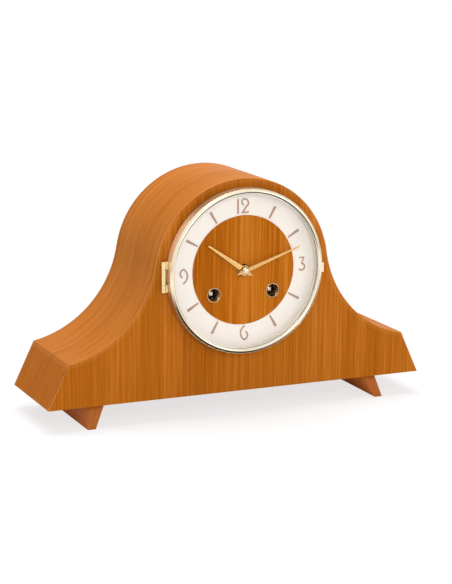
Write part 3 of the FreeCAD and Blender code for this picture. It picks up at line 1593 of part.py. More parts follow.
def make_pallet_lever():
    """Makes the lever, whose pallets stand just clear of the escape wheel's tips."""
    hub = 2 * mm.arbor_radius
    width = mm.pallet_arm_width
    clear = mm.escape_radius + 2 * mm.contact_gap + width / 2
    lean = math.asin(clear / mm.pallet_distance) + math.radians(PALLET_LEAN)
    arm = math.sqrt(mm.pallet_distance**2 - clear**2)
    start, end = escape_layer, escape_layer + mm.wheel_thickness
    pieces = [slab([ring_wire(hub)], start, end)]
    for side in (-1, 1):
        pieces.append(beam(Vector(0, 0, 0), spot(arm, side * lean), width, start, end))
    pieces.append(beam(Vector(0, 0, 0), Vector(-mm.fork_reach, 0, 0), width, start, end))
    for side in (-1, 1):
        root = Vector(-mm.fork_reach + width, 0, 0)
        prong = Vector(-mm.fork_reach - width, 0, side * width)
        pieces.append(beam(root, prong, mm.fork_prong_width, start, end))
    pieces.append(bar(mm.arbor_radius, outer_face + mm.end_shake, bridge_layer - mm.end_shake))
    pieces.append(bar(mm.pivot_radius, rear_face, bridge_layer + mm.bridge_thickness))
    shaped("pallet_lever", pallet, pieces)


def make_balance():
    """Makes the balance on its staff, with the roller that meets the lever's fork, and the hairspring."""
    rim = mm.balance_radius
    inner = rim - mm.balance_rim_width
    hub = mm.balance_hub_radius
    start, end = balance_layer, balance_layer + mm.balance_thickness
    holes = windows(hub, inner, 3, mm.spoke_width)
    roller_rear = roller_layer + mm.wheel_thickness
    pin_front = roller_layer - mm.contact_gap / 3
    shaped("balance_wheel", balance, [
        slab([ring_wire(rim)] + holes, start, end),
        bar(mm.arbor_radius, outer_face + mm.end_shake, bridge_layer - mm.end_shake),
        bar(mm.pivot_radius, rear_face, bridge_layer + mm.bridge_thickness),
        bar(mm.roller_radius, roller_layer + mm.contact_gap, roller_rear),
        bar(mm.impulse_pin_radius, pin_front, roller_rear, mm.impulse_pin_circle),
    ])
    turns = int((mm.hairspring_radius - 2 * mm.arbor_radius) / (mm.hairspring_pitch / 2))
    thick = mm.hairspring_thickness
    width = 2 * mm.contact_gap
    inner = mm.arbor_radius + mm.press_gap
    layer = hairspring_layer
    shaped("hairspring", balance, [spiral(inner, mm.hairspring_pitch, turns, thick, layer, layer + width)])


def make_bridge():
    """Makes the bridge that carries the rear pivots of the escapement, on a foot at each end."""
    width = mm.bridge_width
    start, end = bridge_layer, bridge_layer + mm.bridge_thickness
    right = offset(pallet, (escape[0] + mm.escape_radius + width, escape[1]))
    left = offset(pallet, (balance[0] - mm.balance_radius - width, balance[1]))
    bridge = beam(left, right, width, start, end)
    for foot in (left, right):
        bridge = bridge.fuse(bar(mm.bridge_foot_radius, outer_face, end, foot.x, foot.z))
    for at in (escape, pallet, balance):
        hole = offset(pallet, at)
        bridge = bridge.cut(bar(mm.pivot_radius + mm.running_fit, start - 1, end + 1, hole.x, hole.z))
    shaped("escapement_bridge", pallet, [bridge.removeSplitter()])


# Movement: strike train, hammer and gong


def make_strike_train():
    """Makes the wheels from the strike barrel up to the fly, and what they work."""
    great_phase = 0.0
    make_barrel("strike", strike_barrel, great_phase)
    make_winding("strike", strike_barrel, -1)
    phase = mesh(GREAT_TEETH, great_phase, math.radians(STRIKE_SECOND_DIRECTION), PINION_TEETH)
    lifters = []
    for index in range(HAMMER_PINS):
        at = spot(mm.hammer_pin_circle, phase + 2 * math.pi * index / HAMMER_PINS)
        lifters.append(bar(mm.hammer_pin_radius, tail_layer[0], second_layer, at.x, at.z))
    rear_end = count_layer + mm.wheel_thickness + mm.contact_gap
    shaped("strike_second_wheel", strike_second, arbor(front_face, rear_end) + lifters + [
        pinion(PINION_TEETH, mm.great_module, phase, great_front - mm.pinion_overlap, second_layer),
        wheel(SECOND_TEETH, mm.second_module, phase, second_layer),
        pinion(COUNT_PINION_TEETH, mm.count_module, phase, count_layer - mm.contact_gap, rear_end),
    ])
    make_count_work(phase)
    phase = mesh(SECOND_TEETH, phase, math.radians(STRIKE_THIRD_DIRECTION), PINION_TEETH)
    shaped("strike_third_wheel", strike_third, arbor(front_face, outer_face) + [
        pinion(PINION_TEETH, mm.second_module, phase, *facing(second_layer)),
        wheel(STRIKE_THIRD_TEETH, mm.strike_third_module, phase, pin_layer),
    ])
    phase = mesh(STRIKE_THIRD_TEETH, phase, math.radians(LOCKING_DIRECTION), PINION_TEETH)
    shaped("locking_wheel", locking, arbor(front_face, outer_face) + [
        pinion(PINION_TEETH, mm.strike_third_module, phase, *facing(pin_layer)),
        wheel(LOCKING_TEETH, mm.locking_module, phase, third_layer),
    ])
    phase = mesh(LOCKING_TEETH, phase, math.radians(FLY_DIRECTION), PINION_TEETH)
    vane_end = Vector(mm.fly_width / 2, 0, 0)
    vane = beam(-vane_end, vane_end, mm.wheel_thickness / 2, pin_layer, second_layer)
    shaped("strike_fly", fly, arbor(front_face, outer_face) + [
        pinion(PINION_TEETH, mm.locking_module, phase, *facing(third_layer)),
        vane,
    ])
    make_hammer()
    make_gong()


def make_count_work(phase):
    """Makes the count wheel, notched after each hour's blows, and the lever that reads it."""
    count_phase = mesh(COUNT_PINION_TEETH, phase, math.radians(COUNT_DIRECTION), COUNT_TEETH)
    blows = sum(range(1, 13))
    outer = mm.count_disc_radius
    inner = outer - mm.count_notch_depth
    notch = math.pi / blows
    angles = [2 * math.pi * sum(range(1, hour + 1)) / blows for hour in range(1, 13)]
    edges = []
    for angle, following in zip(angles, angles[1:] + [angles[0] + 2 * math.pi]):
        before, after = angle - notch / 2, angle + notch / 2
        middle = (angle + following) / 2
        edges.append(line(spot(outer, before), spot(inner, before)))
        edges.append(line(spot(inner, before), spot(inner, after)))
        edges.append(line(spot(inner, after), spot(outer, after)))
        edges.append(arc(spot(outer, after), spot(outer, middle), spot(outer, following - notch / 2)))
    disc_start = count_layer + mm.wheel_thickness
    disc_end = disc_start + mm.wheel_thickness
    bore = bar(mm.stud_radius + mm.running_fit, count_layer - 1, disc_end + 1)
    toothed = wheel(COUNT_TEETH, mm.count_module, count_phase, count_layer)
    holes = windows(mm.wheel_hub_radius, inner - 2 * mm.wheel_rim, 4, mm.spoke_width, count_phase)
    disc = slab([Part.Wire(edges)] + holes, disc_start, disc_end)
    shaped("count_wheel", count, [toothed.fuse(disc).cut(bore)])
    nose = offset(lever_pivot, count_nose)
    lever = slab([ring_wire(2 * mm.arbor_radius)], disc_start, disc_end)
    elbow = nose + Vector(0, 0, mm.count_notch_depth)
    lever = lever.fuse([
        beam(Vector(0, 0, 0), elbow, mm.spoke_width, disc_start, disc_end),
        beam(elbow + Vector(0, 0, mm.spoke_width / 2), nose, mm.spoke_width / 2, disc_start, disc_end),
    ])
    shaped("locking_lever", lever_pivot, [lever.cut(bore).removeSplitter()])


hammer_layer = count_layer + 3 * mm.wheel_thickness
head_place = Vector(-mm.hammer_reach, 0, -mm.hammer_drop)
gong_depths = (mm.gong_depth, mm.gong_depth + mm.gong_spacing)
gong_height = hammer[1] - mm.hammer_drop - mm.hammer_head_length / 2 - mm.gong_gap - mm.gong_rod_radius


def make_hammer():
    """Makes the hammer arbor with its tail and arm, and the two heads that strike the rods."""
    tail_tip = offset(hammer, strike_second)
    clear = mm.hammer_pin_circle + mm.hammer_pin_radius + mm.contact_gap
    heading = math.radians(HAMMER_TAIL_DIRECTION)
    tail_end = tail_tip + spot(clear + mm.spoke_width / 2, heading)
    arm_end = hammer_layer + mm.wheel_thickness
    rod_end = gong_depths[1] + mm.hammer_head_radius
    heads = []
    for depth in gong_depths:
        low = Vector(head_place.x, depth, head_place.z - mm.hammer_head_length / 2)
        heads.append(Part.makeCylinder(mm.hammer_head_radius, mm.hammer_head_length, low))
    shaped("hammer", hammer, arbor(front_face, arm_end) + heads + [
        beam(Vector(0, 0, 0), tail_end, mm.spoke_width, *tail_layer),
        beam(Vector(0, 0, 0), head_place, 2 * mm.hammer_rod_radius, hammer_layer, arm_end),
        bar(2 * mm.arbor_radius, hammer_layer, arm_end),
        bar(mm.hammer_rod_radius, hammer_layer, rod_end, head_place.x, head_place.z),
    ])


def make_gong():
    """Makes the iron block on the base and the two rods that ring."""
    rod_z = write_cell("gong_rod_z", dial_z.value + gong_height)
    left = write_cell("gong_block_x", head_place.x - mm.gong_block_setback)
    floor_z = case_z + dim.base_thickness
    middle_y = front_y + dim.gong_depth + dim.gong_spacing / 2
    sizes = (dim.gong_block_length, dim.gong_block_width, rod_z + dim.gong_block_cover - floor_z)
    block = box("gong_block_body", sizes, (left, middle_y - dim.gong_block_width / 2, floor_z))
    rods, bores = [], []
    for index in (0, 1):
        at = (left + dim.gong_block_cover, front_y + dim.gong_depth + index * dim.gong_spacing, rod_z)
        rods.append(cylinder(f"gong_rod_{index}", dim.gong_rod_radius, dim.gong_rod_length, at, ALONG_X))
        bore_radius = dim.gong_rod_radius + dim.press_gap
        bores.append(cylinder(f"gong_bore_{index}", bore_radius, dim.gong_block_length, at, ALONG_X))
    keep(cut("gong_block", block, group_of(bores)))
    group("gong_rods", rods)


def group_of(pieces):
    """Gathers cutting tools that are used together."""
    tools = doc.addObject("Part::Compound", "gong_bores")
    tools.Links = pieces
    return tools


# Build, test and write


def check(pieces):
    """Stops if any object failed or any piece has no sound shape."""
    for thing in doc.Objects:
        if "Invalid" in thing.State or "Error" in thing.State:
            raise RuntimeError(f"{thing.Name} did not build: {thing.State}")
    for piece in pieces:
        if piece.Shape.isNull() or not piece.Shape.isValid() or not piece.Shape.Solids:
            raise RuntimeError(f"{piece.Label} has no sound solid")


make_case()
make_back()
make_dial()
make_bezel()
make_hands()
make_frame()
make_going_train()
make_strike_train()
doc.recompute()
check(PARTS)
os.makedirs("parts", exist_ok=True)
for piece in PARTS:
    piece.Shape.exportStep(f"parts/{piece.Label}.step")
print(f"{len(PARTS)} pieces")
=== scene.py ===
"""Dresses a table clock with an arched wooden case.

It mixes the finishes, makes the finer pieces, and sets up the studio and the camera.
"""

import json
import logging
import math
from dataclasses import dataclass
from enum import Enum
from typing import Callable, ClassVar, Sequence, Union

import bmesh
import bpy
from mathutils import Matrix, Vector

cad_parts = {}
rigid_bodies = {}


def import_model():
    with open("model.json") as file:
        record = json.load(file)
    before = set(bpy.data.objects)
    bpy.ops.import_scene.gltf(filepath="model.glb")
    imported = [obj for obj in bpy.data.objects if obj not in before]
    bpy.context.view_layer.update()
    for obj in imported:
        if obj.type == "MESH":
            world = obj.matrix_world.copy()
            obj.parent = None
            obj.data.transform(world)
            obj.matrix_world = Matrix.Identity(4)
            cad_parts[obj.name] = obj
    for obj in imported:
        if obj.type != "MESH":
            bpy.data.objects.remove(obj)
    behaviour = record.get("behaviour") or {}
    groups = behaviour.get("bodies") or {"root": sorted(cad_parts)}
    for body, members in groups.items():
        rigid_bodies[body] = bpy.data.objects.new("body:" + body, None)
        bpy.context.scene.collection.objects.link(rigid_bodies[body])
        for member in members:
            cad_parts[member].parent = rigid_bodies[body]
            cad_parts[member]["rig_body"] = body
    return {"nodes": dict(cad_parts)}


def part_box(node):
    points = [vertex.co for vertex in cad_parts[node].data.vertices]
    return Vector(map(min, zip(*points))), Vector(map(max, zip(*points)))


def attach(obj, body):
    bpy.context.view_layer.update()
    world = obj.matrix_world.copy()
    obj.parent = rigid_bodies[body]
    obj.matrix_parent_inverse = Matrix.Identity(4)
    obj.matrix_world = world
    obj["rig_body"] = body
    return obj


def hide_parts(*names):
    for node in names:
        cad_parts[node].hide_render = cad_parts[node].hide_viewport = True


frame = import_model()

LOG = logging.getLogger("table_clock")
MM = 0.001
DIAL_CENTRE = Vector((0.0, 0.0, 0.1382))
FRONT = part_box("front_board")[0].y
HALF = 0.5
WHITE = (1.0, 1.0, 1.0, 1.0)

Colour = tuple[float, float, float]
Triple = tuple[float, float, float]
Point2 = tuple[float, float]
Owner = Union[bpy.types.Material, bpy.types.World]
Value = Union["Shade", float]


# Shader maths


class Shade:
    """A value on its way through a material, which takes part in sums as a number does."""

    def __init__(self, bench: "Bench", socket: bpy.types.NodeSocket) -> None:
        """Keeps the bench that holds the nodes and the socket that gives the value."""
        self.bench = bench
        self.socket = socket

    def worked(self, operation: str, first: Value, second: Value = 0.0) -> "Shade":
        """Adds one Math node.

        Args:
            operation: The Math node's operation.
            first: Its first value.
            second: Its second value.

        Returns:
            The node's result.
        """
        return self.bench.node("ShaderNodeMath", {"operation": operation}, {0: first, 1: second})

    def __add__(self, other: Value) -> "Shade":
        """The sum of two values."""
        return self.worked("ADD", self, other)

    def __radd__(self, other: float) -> "Shade":
        """The sum of a number and this value."""
        return self.worked("ADD", other, self)

    def __sub__(self, other: Value) -> "Shade":
        """This value less another."""
        return self.worked("SUBTRACT", self, other)

    def __rsub__(self, other: float) -> "Shade":
        """A number less this value."""
        return self.worked("SUBTRACT", other, self)

    def __mul__(self, other: Value) -> "Shade":
        """The product of two values."""
        return self.worked("MULTIPLY", self, other)

    def __rmul__(self, other: float) -> "Shade":
        """The product of a number and this value."""
        return self.worked("MULTIPLY", other, self)

    def __pow__(self, other: float) -> "Shade":
        """This value raised to a power."""
        return self.worked("POWER", self, other)

    def above(self, level: float) -> "Shade":
        """One where this value is over a level, and nothing elsewhere."""
        return self.worked("GREATER_THAN", self, level)

    def most(self, other: Value) -> "Shade":
        """The larger of two values."""
        return self.worked("MAXIMUM", self, other)

    def size(self) -> "Shade":
        """This value without its sign."""
        return self.worked("ABSOLUTE", self)

    def swing(self, weight: float) -> "Shade":
        """How far this value is from one half, times a weight."""
        return (self - HALF) * weight

    def scaled(self, start: float, gain: float) -> "Shade":
        """A start plus this value times a gain."""
        return start + self * gain

    def eased(self, low: float, high: float) -> "Shade":
        """A smooth step from nothing at one level to one at another.

        Args:
            low: The level where the step starts.
            high: The level where it ends.

        Returns:
            The step's height.
        """
        inputs = {0: self, 1: low, 2: high, 3: 0.0, 4: 1.0}
        return self.bench.node("ShaderNodeMapRange", {"interpolation_type": "SMOOTHSTEP"}, inputs)


@dataclass(frozen=True)
class Layer:
    """One layer of noise: how fine it is, its finer layers, their strength and its bend."""

    scale: float
    detail: float
    rough: float
    twist: float = 0.0


class Bench:
    """The node tree of one material, or of the room."""

    def __init__(self, owner: Owner) -> None:
        """Starts an empty tree.

        Args:
            owner: What the tree belongs to.
        """
        owner.use_nodes = True
        self.owner = owner
        self.tree = owner.node_tree
        self.tree.nodes.clear()

    @classmethod
    def new(cls, name: str) -> "Bench":
        """A bench for a new material of that name."""
        return cls(bpy.data.materials.new(name))

    def node(
        self, kind: str, settings: dict | None = None, inputs: dict | None = None,
        output: int | str = 0,
    ) -> Shade:
        """Adds one node.

        Args:
            kind: The node's type.
            settings: Its settings, with a ramp's stops under "stops".
            inputs: The values or links of its sockets.
            output: The socket that the result comes from.

        Returns:
            The node's result.
        """
        made = self.tree.nodes.new(kind)
        for name, value in (settings or {}).items():
            if name == "stops":
                while len(made.color_ramp.elements) < len(value):
                    made.color_ramp.elements.new(HALF)
                for stop, (place, tone) in zip(made.color_ramp.elements, value):
                    stop.position = place
                    stop.color = (*tone, 1.0)
            else:
                setattr(made, name, value)
        for key, value in (inputs or {}).items():
            if isinstance(value, Shade):
                self.tree.links.new(value.socket, made.inputs[key])
            else:
                made.inputs[key].default_value = value
        return Shade(self, made.outputs[output])

    def point(
        self, stretch: Triple = (1.0, 1.0, 1.0), shift: Triple = (0.0, 0.0, 0.0),
    ) -> Shade:
        """A place on the piece, stretched along each axis.

        Args:
            stretch: The pattern's scale along each axis, per metre.
            shift: How far it is moved, after stretching.

        Returns:
            The stretched place.
        """
        place = self.node("ShaderNodeTexCoord", output="Object")
        return self.node("ShaderNodeMapping", None, {0: place, 1: shift, 3: stretch})

    def axis(self, vector: Shade, name: str) -> Shade:
        """One axis of a vector, by its letter."""
        return self.node("ShaderNodeSeparateXYZ", None, {0: vector}, name)

    def facing(self, name: str) -> Shade:
        """How far the surface faces along an axis, by the axis's letter."""
        return self.axis(self.node("ShaderNodeTexCoord", output="Normal"), name)

    def reach(self, vector: Shade) -> Shade:
        """The length of a vector."""
        return self.node("ShaderNodeVectorMath", {"operation": "LENGTH"}, {0: vector}, "Value")

    def noise(self, place: Shade, layer: Layer) -> Shade:
        """Soft random values around one half.

        Args:
            place: Where the pattern is read.
            layer: What the pattern is like.

        Returns:
            A value from nothing to one.
        """
        inputs = {
            "Vector": place, "Scale": layer.scale, "Detail": layer.detail,
            "Roughness": layer.rough, "Distortion": layer.twist,
        }
        return self.node("ShaderNodeTexNoise", None, inputs)

    def ramp(self, value: Shade, stops: Sequence[tuple[float, Colour]]) -> Shade:
        """Colours for a value, from a list of levels."""
        return self.node("ShaderNodeValToRGB", {"stops": stops}, {0: value})

    def tint(
        self, share: Value, first: Shade | Colour, second: Shade | Colour, way: str = "MIX",
    ) -> Shade:
        """Mixes two colours.

        Args:
            share: How much of the second colour there is.
            first: The colour below.
            second: The colour above.
            way: How the second is laid on the first.

        Returns:
            The mixed colour.
        """
        pair = [tone if isinstance(tone, Shade) else (*tone, 1.0) for tone in (first, second)]
        settings = {"data_type": "RGBA", "blend_type": way, "clamp_factor": True}
        return self.node("ShaderNodeMix", settings, {0: share, 6: pair[0], 7: pair[1]}, 2)

    def relief(self, height: Shade, strength: float, depth: float) -> Shade:
        """A Bump for the surface's fine relief.

        Args:
            height: The relief's height, from nothing to one.
            strength: How much of it shows.
            depth: What a height of one is, in metres.

        Returns:
            The bent normal.
        """
        inputs = {"Strength": strength, "Distance": depth, "Height": height}
        return self.node("ShaderNodeBump", None, inputs)

    def close(self, shader: Shade, kind: str = "ShaderNodeOutputMaterial") -> Owner:
        """Gives the owner its surface.

        Args:
            shader: The surface.
            kind: The type of the tree's output node.

        Returns:
            The owner.
        """
        out = self.tree.nodes.new(kind)
        self.tree.links.new(shader.socket, out.inputs["Surface"])
        return self.owner

    def surface(self, **inputs: Shade | float | tuple) -> Owner:
        """Closes the tree with one Principled surface.

        Args:
            inputs: Its sockets, with an underscore for each space.

        Returns:
            The finished material.
        """
        named = {key.replace("_", " "): value for key, value in inputs.items()}
        return self.close(self.node("ShaderNodeBsdfPrincipled", None, named))


# Finishes


class Grain(Enum):
    """Which way the fibres run, as how fast the pattern changes along x, y and z."""

    UPRIGHT = (1.0, 0.35, 0.014)
    ROUND_THE_CASE = (0.02, 1.0, 0.02)
    FRONT_TO_BACK = (1.0, 0.03, 1.0)
    LENGTHWISE = (0.025, 1.0, 1.0)


class Finish:
    """A finish that is mixed once and then used on any number of pieces."""

    ready: ClassVar[dict["Finish", bpy.types.Material]] = {}

    def mixed(self) -> bpy.types.Material:
        """Mixes the finish. Each kind of finish has its own way."""
        raise NotImplementedError

    def material(self) -> bpy.types.Material:
        """The finish's material, mixed the first time.

        Returns:
            The material.
        """
        if self not in Finish.ready:
            Finish.ready[self] = self.mixed()
        return Finish.ready[self]


@dataclass(frozen=True)
class Veneer(Finish):
    """Lacquered wood with straight grain.

    The edge is the colour of a painted highlight on the front-facing corners, the heart is the
    strength of a pale streak up the middle, and the cut is the tint of sawn faces below a height.
    """

    name: str
    dark: Colour
    middle: Colour
    light: Colour
    grain: Grain
    contrast: float = 1.0
    roughness: float = 0.42
    lacquer: float = 0.02
    edge: Colour | None = None
    heart: float = 0.0
    pore_depth: float = 0.1
    cut: Colour | None = None
    cut_axis: str = "X"
    cut_below: float = 0.06

    CLOUD: ClassVar[Layer] = Layer(23.0, 3.0, 0.6)
    BROAD: ClassVar[Layer] = Layer(34.0, 2.0, 0.5, 0.6)
    FIGURE: ClassVar[Layer] = Layer(240.0, 3.0, 0.6, 0.2)
    FIBRE: ClassVar[Layer] = Layer(560.0, 3.0, 0.65)
    PORES: ClassVar[Layer] = Layer(2100.0, 1.0, 0.5)
    LINES: ClassVar[Layer] = Layer(430.0, 2.0, 0.5)
    PORE_STEP: ClassVar[Point2] = (0.6, 0.74)
    LINE_STEP: ClassVar[Point2] = (0.54, 0.72)
    CUT_STEP: ClassVar[Point2] = (0.7, 0.85)
    # Steps and spread of the painted highlight on the front-facing corners.
    EDGE_HIGHLIGHT_START: ClassVar[Point2] = (0.3, 0.55)
    EDGE_HIGHLIGHT_END: ClassVar[Point2] = (0.8, 0.95)
    FLAT_FRONT: ClassVar[float] = 0.9
    TONES: ClassVar[Triple] = (0.22, 0.5, 0.78)
    BROAD_SHARE: ClassVar[float] = 0.5
    FIGURE_SHARE: ClassVar[float] = 0.3
    LINE_SHARE: ClassVar[float] = 0.45
    PORE_SHARE: ClassVar[float] = 0.2
    PORE_TONE: ClassVar[float] = 0.55
    HEART_SPREAD: ClassVar[float] = 90.0
    STREAK: ClassVar[Point2] = (0.4, 0.6)
    EDGE_HIGHLIGHT_SPREAD: ClassVar[Point2] = (0.1, 0.4)
    ROUGH_CLOUD: ClassVar[float] = 0.16
    ROUGH_FIGURE: ClassVar[float] = 0.1
    ROUGH_PORES: ClassVar[float] = 0.08
    HIGH_FIBRE: ClassVar[float] = 0.6
    HIGH_FIGURE: ClassVar[float] = 0.4
    DEEP_PORES: ClassVar[float] = 0.7
    RELIEF: ClassVar[float] = 0.0001
    MIRROR: ClassVar[float] = 0.02
    COAT: ClassVar[Point2] = (0.7, 0.6)
    COAT_ROUGHNESS: ClassVar[float] = 0.16

    def place(self, bench: Bench) -> Shade:
        """Where the grain is read.

        Args:
            bench: The material's bench.

        Returns:
            The stretched place, which is upright on the flat front of a finish with an edge.
        """
        along = bench.point(self.grain.value)
        if self.edge is None:
            return along
        upright = bench.point(Grain.UPRIGHT.value)
        flat = (bench.facing("Y") * -1.0).above(self.FLAT_FRONT)
        inputs = {0: flat, 4: along, 5: upright}
        return bench.node("ShaderNodeMix", {"data_type": "VECTOR"}, inputs, 1)

    def tinted_cuts_and_highlight(self, bench: Bench, colour: Shade, cloud: Shade) -> Shade:
        """Tints the sawn faces, and lightens the front-facing corners with a painted highlight.

        Args:
            bench: The material's bench.
            colour: The wood's colour.
            cloud: How unevenly the painted highlight lies along the corners.

        Returns:
            The tinted colour.
        """
        if self.cut is not None:
            sideways = bench.facing(self.cut_axis).size().eased(*self.CUT_STEP)
            low = 1.0 - bench.axis(bench.point(), "Z").above(self.cut_below)
            colour = bench.tint(sideways * low, colour, self.cut, "MULTIPLY")
        # Painted highlight: lighter where the corner faces turn partly to the front.
        if self.edge is not None:
            ahead = bench.facing("Y") * -1.0
            edge_highlight = ahead.eased(*self.EDGE_HIGHLIGHT_START) * (1.0 - ahead.eased(*self.EDGE_HIGHLIGHT_END))
            colour = bench.tint(edge_highlight * cloud.scaled(*self.EDGE_HIGHLIGHT_SPREAD), colour, self.edge)
        return colour

    def mixed(self) -> bpy.types.Material:
        """Lays figure, fibres, pores and dark lines over each other, with a thin lacquer.

        Returns:
            The material.
        """
        bench = Bench.new(self.name)
        place = self.place(bench)
        cloud = bench.noise(bench.point(), self.CLOUD)
        broad = bench.noise(place, self.BROAD)
        figure = bench.noise(place, self.FIGURE)
        fibre = bench.noise(place, self.FIBRE)
        pores = bench.noise(place, self.PORES).eased(*self.PORE_STEP)
        line = bench.noise(place, self.LINES).eased(*self.LINE_STEP)
        weight = self.contrast
        tone = HALF + broad.swing(self.BROAD_SHARE * weight)
        tone = tone + figure.swing(self.FIGURE_SHARE * weight) + fibre.swing(weight)
        colour = bench.ramp(tone, list(zip(self.TONES, (self.dark, self.middle, self.light))))
        if self.heart:
            across = (bench.axis(bench.point(), "X") * self.HEART_SPREAD).size()
            streak = (1.0 - across.eased(0.0, 1.0)) * figure.scaled(*self.STREAK)
            colour = bench.tint(streak * self.heart, colour, self.light)
        pore_tone = tuple(self.PORE_TONE * part for part in self.dark)
        colour = bench.tint(line * (self.LINE_SHARE * weight), colour, self.dark)
        colour = bench.tint(pores * (self.PORE_SHARE * weight), colour, pore_tone)
        rough = self.roughness + cloud.swing(self.ROUGH_CLOUD) + figure.swing(self.ROUGH_FIGURE)
        height = fibre * self.HIGH_FIBRE + figure * self.HIGH_FIGURE - pores * self.DEEP_PORES
        return bench.surface(
            Base_Color=self.tinted_cuts_and_highlight(bench, colour, cloud),
            Roughness=rough + pores * self.ROUGH_PORES,
            Specular_IOR_Level=self.MIRROR,
            Coat_Weight=self.lacquer * cloud.scaled(*self.COAT),
            Coat_Roughness=self.COAT_ROUGHNESS,
            Normal=bench.relief(height, self.pore_depth, self.RELIEF),
        )


class Working(Enum):
    """How the face of a metal was worked, as the stretch of its fine marks.

    The marks of turning run round the dial's axis, so their stretch isn't used.
    """

    POLISHED = (1.0, 1.0, 1.0)
    GRAINED_UPRIGHT = (1.0, 1.0, 0.04)
    GRAINED_ACROSS = (0.04, 1.0, 1.0)
    DRAWN = (0.03, 1.0, 1.0)
    TURNED = (0.0, 0.0, 0.0)


@dataclass(frozen=True)
class Metal(Finish):
    """Bare or lacquered metal, which can carry painted shade above a height and on faces that turn
    towards the floor.
    """

    name: str
    bright: Colour
    dull: Colour
    roughness: float
    working: Working = Working.POLISHED
    marks: float = 0.1
    tarnish: float = 0.35
    metallic: float = 1.0
    shade_above: float | None = None
    shade_reach: float = 0.022
    below: Colour | None = None

    CLOUD: ClassVar[Layer] = Layer(60.0, 4.0, 0.6, 0.4)
    SPOTS: ClassVar[Layer] = Layer(520.0, 2.0, 0.5)
    FINE: ClassVar[Layer] = Layer(2600.0, 2.0, 0.6)
    CLOUD_STEP: ClassVar[Point2] = (0.42, 0.7)
    SPOT_STEP: ClassVar[Point2] = (0.62, 0.75)
    FLOOR_SHADE_STEP: ClassVar[Point2] = (0.04, 0.3)
    SPOT_SHARE: ClassVar[float] = 0.4
    ROUGH_CLOUD: ClassVar[float] = 0.5
    ROUGH_MARKS: ClassVar[float] = 0.8
    ROUGH_SPOTS: ClassVar[float] = 0.05
    HIGH_CLOUD: ClassVar[float] = 0.3
    RELIEF: ClassVar[float] = 0.00006

    def fine(self, bench: Bench) -> Shade:
        """The fine marks of working.

        Args:
            bench: The material's bench.

        Returns:
            The marks, as noise.
        """
        if self.working is not Working.TURNED:
            return bench.noise(bench.point(self.working.value), self.FINE)
        centred = bench.point((1.0, 0.0, 1.0), (0.0, 0.0, -DIAL_CENTRE.z))
        rings = bench.node("ShaderNodeCombineXYZ", None, {0: bench.reach(centred)})
        return bench.noise(rings, self.FINE)

    def mixed(self) -> bpy.types.Material:
        """Lays cloudy tarnish, small spots, the marks of working and any painted shade on the
        metal.

        Returns:
            The material.
        """
        bench = Bench.new(self.name)
        plain = bench.point()
        cloud = bench.noise(plain, self.CLOUD)
        spots = bench.noise(plain, self.SPOTS).eased(*self.SPOT_STEP)
        fine = self.fine(bench)
        tarnish_and_shade = cloud.eased(*self.CLOUD_STEP) * self.tarnish
        tarnish_and_shade = tarnish_and_shade + spots * (self.SPOT_SHARE * self.tarnish)
        # Painted shade: the metal darkens above a given height.
        if self.shade_above is not None:
            top = self.shade_above + self.shade_reach
            tarnish_and_shade = tarnish_and_shade + bench.axis(plain, "Z").eased(self.shade_above, top)
        tone = bench.tint(tarnish_and_shade, self.bright, self.dull)
        # Painted shade: darker on faces that turn towards the floor.
        if self.below is not None:
            shade_facing_floor = (bench.facing("Z") * -1.0).eased(*self.FLOOR_SHADE_STEP)
            tone = bench.tint(shade_facing_floor, tone, self.below)
        rough = self.roughness + cloud.swing(self.ROUGH_CLOUD * self.roughness)
        rough = rough + fine.swing(self.ROUGH_MARKS * self.marks) + spots * self.ROUGH_SPOTS
        return bench.surface(
            Base_Color=tone,
            Metallic=self.metallic,
            Roughness=rough,
            Normal=bench.relief(fine + cloud * self.HIGH_CLOUD, self.marks, self.RELIEF),
        )


@dataclass(frozen=True)
class Paint(Finish):
    """Sprayed satin paint with a faint mottle."""

    name: str
    tone: Colour
    shade: Colour
    roughness: float
    lacquer: float = 0.0
    speckle: float = 0.25

    MOTTLE: ClassVar[Layer] = Layer(38.0, 4.0, 0.6, 0.3)
    SPECK: ClassVar[Layer] = Layer(1500.0, 2.0, 0.5)
    PEEL: ClassVar[Layer] = Layer(800.0, 1.0, 0.4)
    MOTTLE_STEP: ClassVar[Point2] = (0.35, 0.8)
    MOTTLE_SHARE: ClassVar[float] = 0.45
    ROUGH_MOTTLE: ClassVar[float] = 0.14
    ROUGH_SPECK: ClassVar[float] = 0.08
    COAT: ClassVar[Point2] = (0.6, 0.8)
    COAT_ROUGHNESS: ClassVar[float] = 0.2
    PEEL_STRENGTH: ClassVar[float] = 0.06
    RELIEF: ClassVar[float] = 0.00005

    def mixed(self) -> bpy.types.Material:
        """Lays a faint mottle, fine speckle and orange peel on the paint.

        Returns:
            The material.
        """
        bench = Bench.new(self.name)
        place = bench.point()
        mottle = bench.noise(place, self.MOTTLE)
        speck = bench.noise(place, self.SPECK)
        peel = bench.noise(place, self.PEEL)
        share = mottle.eased(*self.MOTTLE_STEP) * self.MOTTLE_SHARE
        share = share + (speck - HALF).size() * self.speckle
        rough = self.roughness + mottle.swing(self.ROUGH_MOTTLE) + speck.swing(self.ROUGH_SPECK)
        return bench.surface(
            Base_Color=bench.tint(share, self.tone, self.shade),
            Roughness=rough,
            Coat_Weight=self.lacquer * mottle.scaled(*self.COAT),
            Coat_Roughness=self.COAT_ROUGHNESS,
            Normal=bench.relief(peel, self.PEEL_STRENGTH, self.RELIEF),
        )


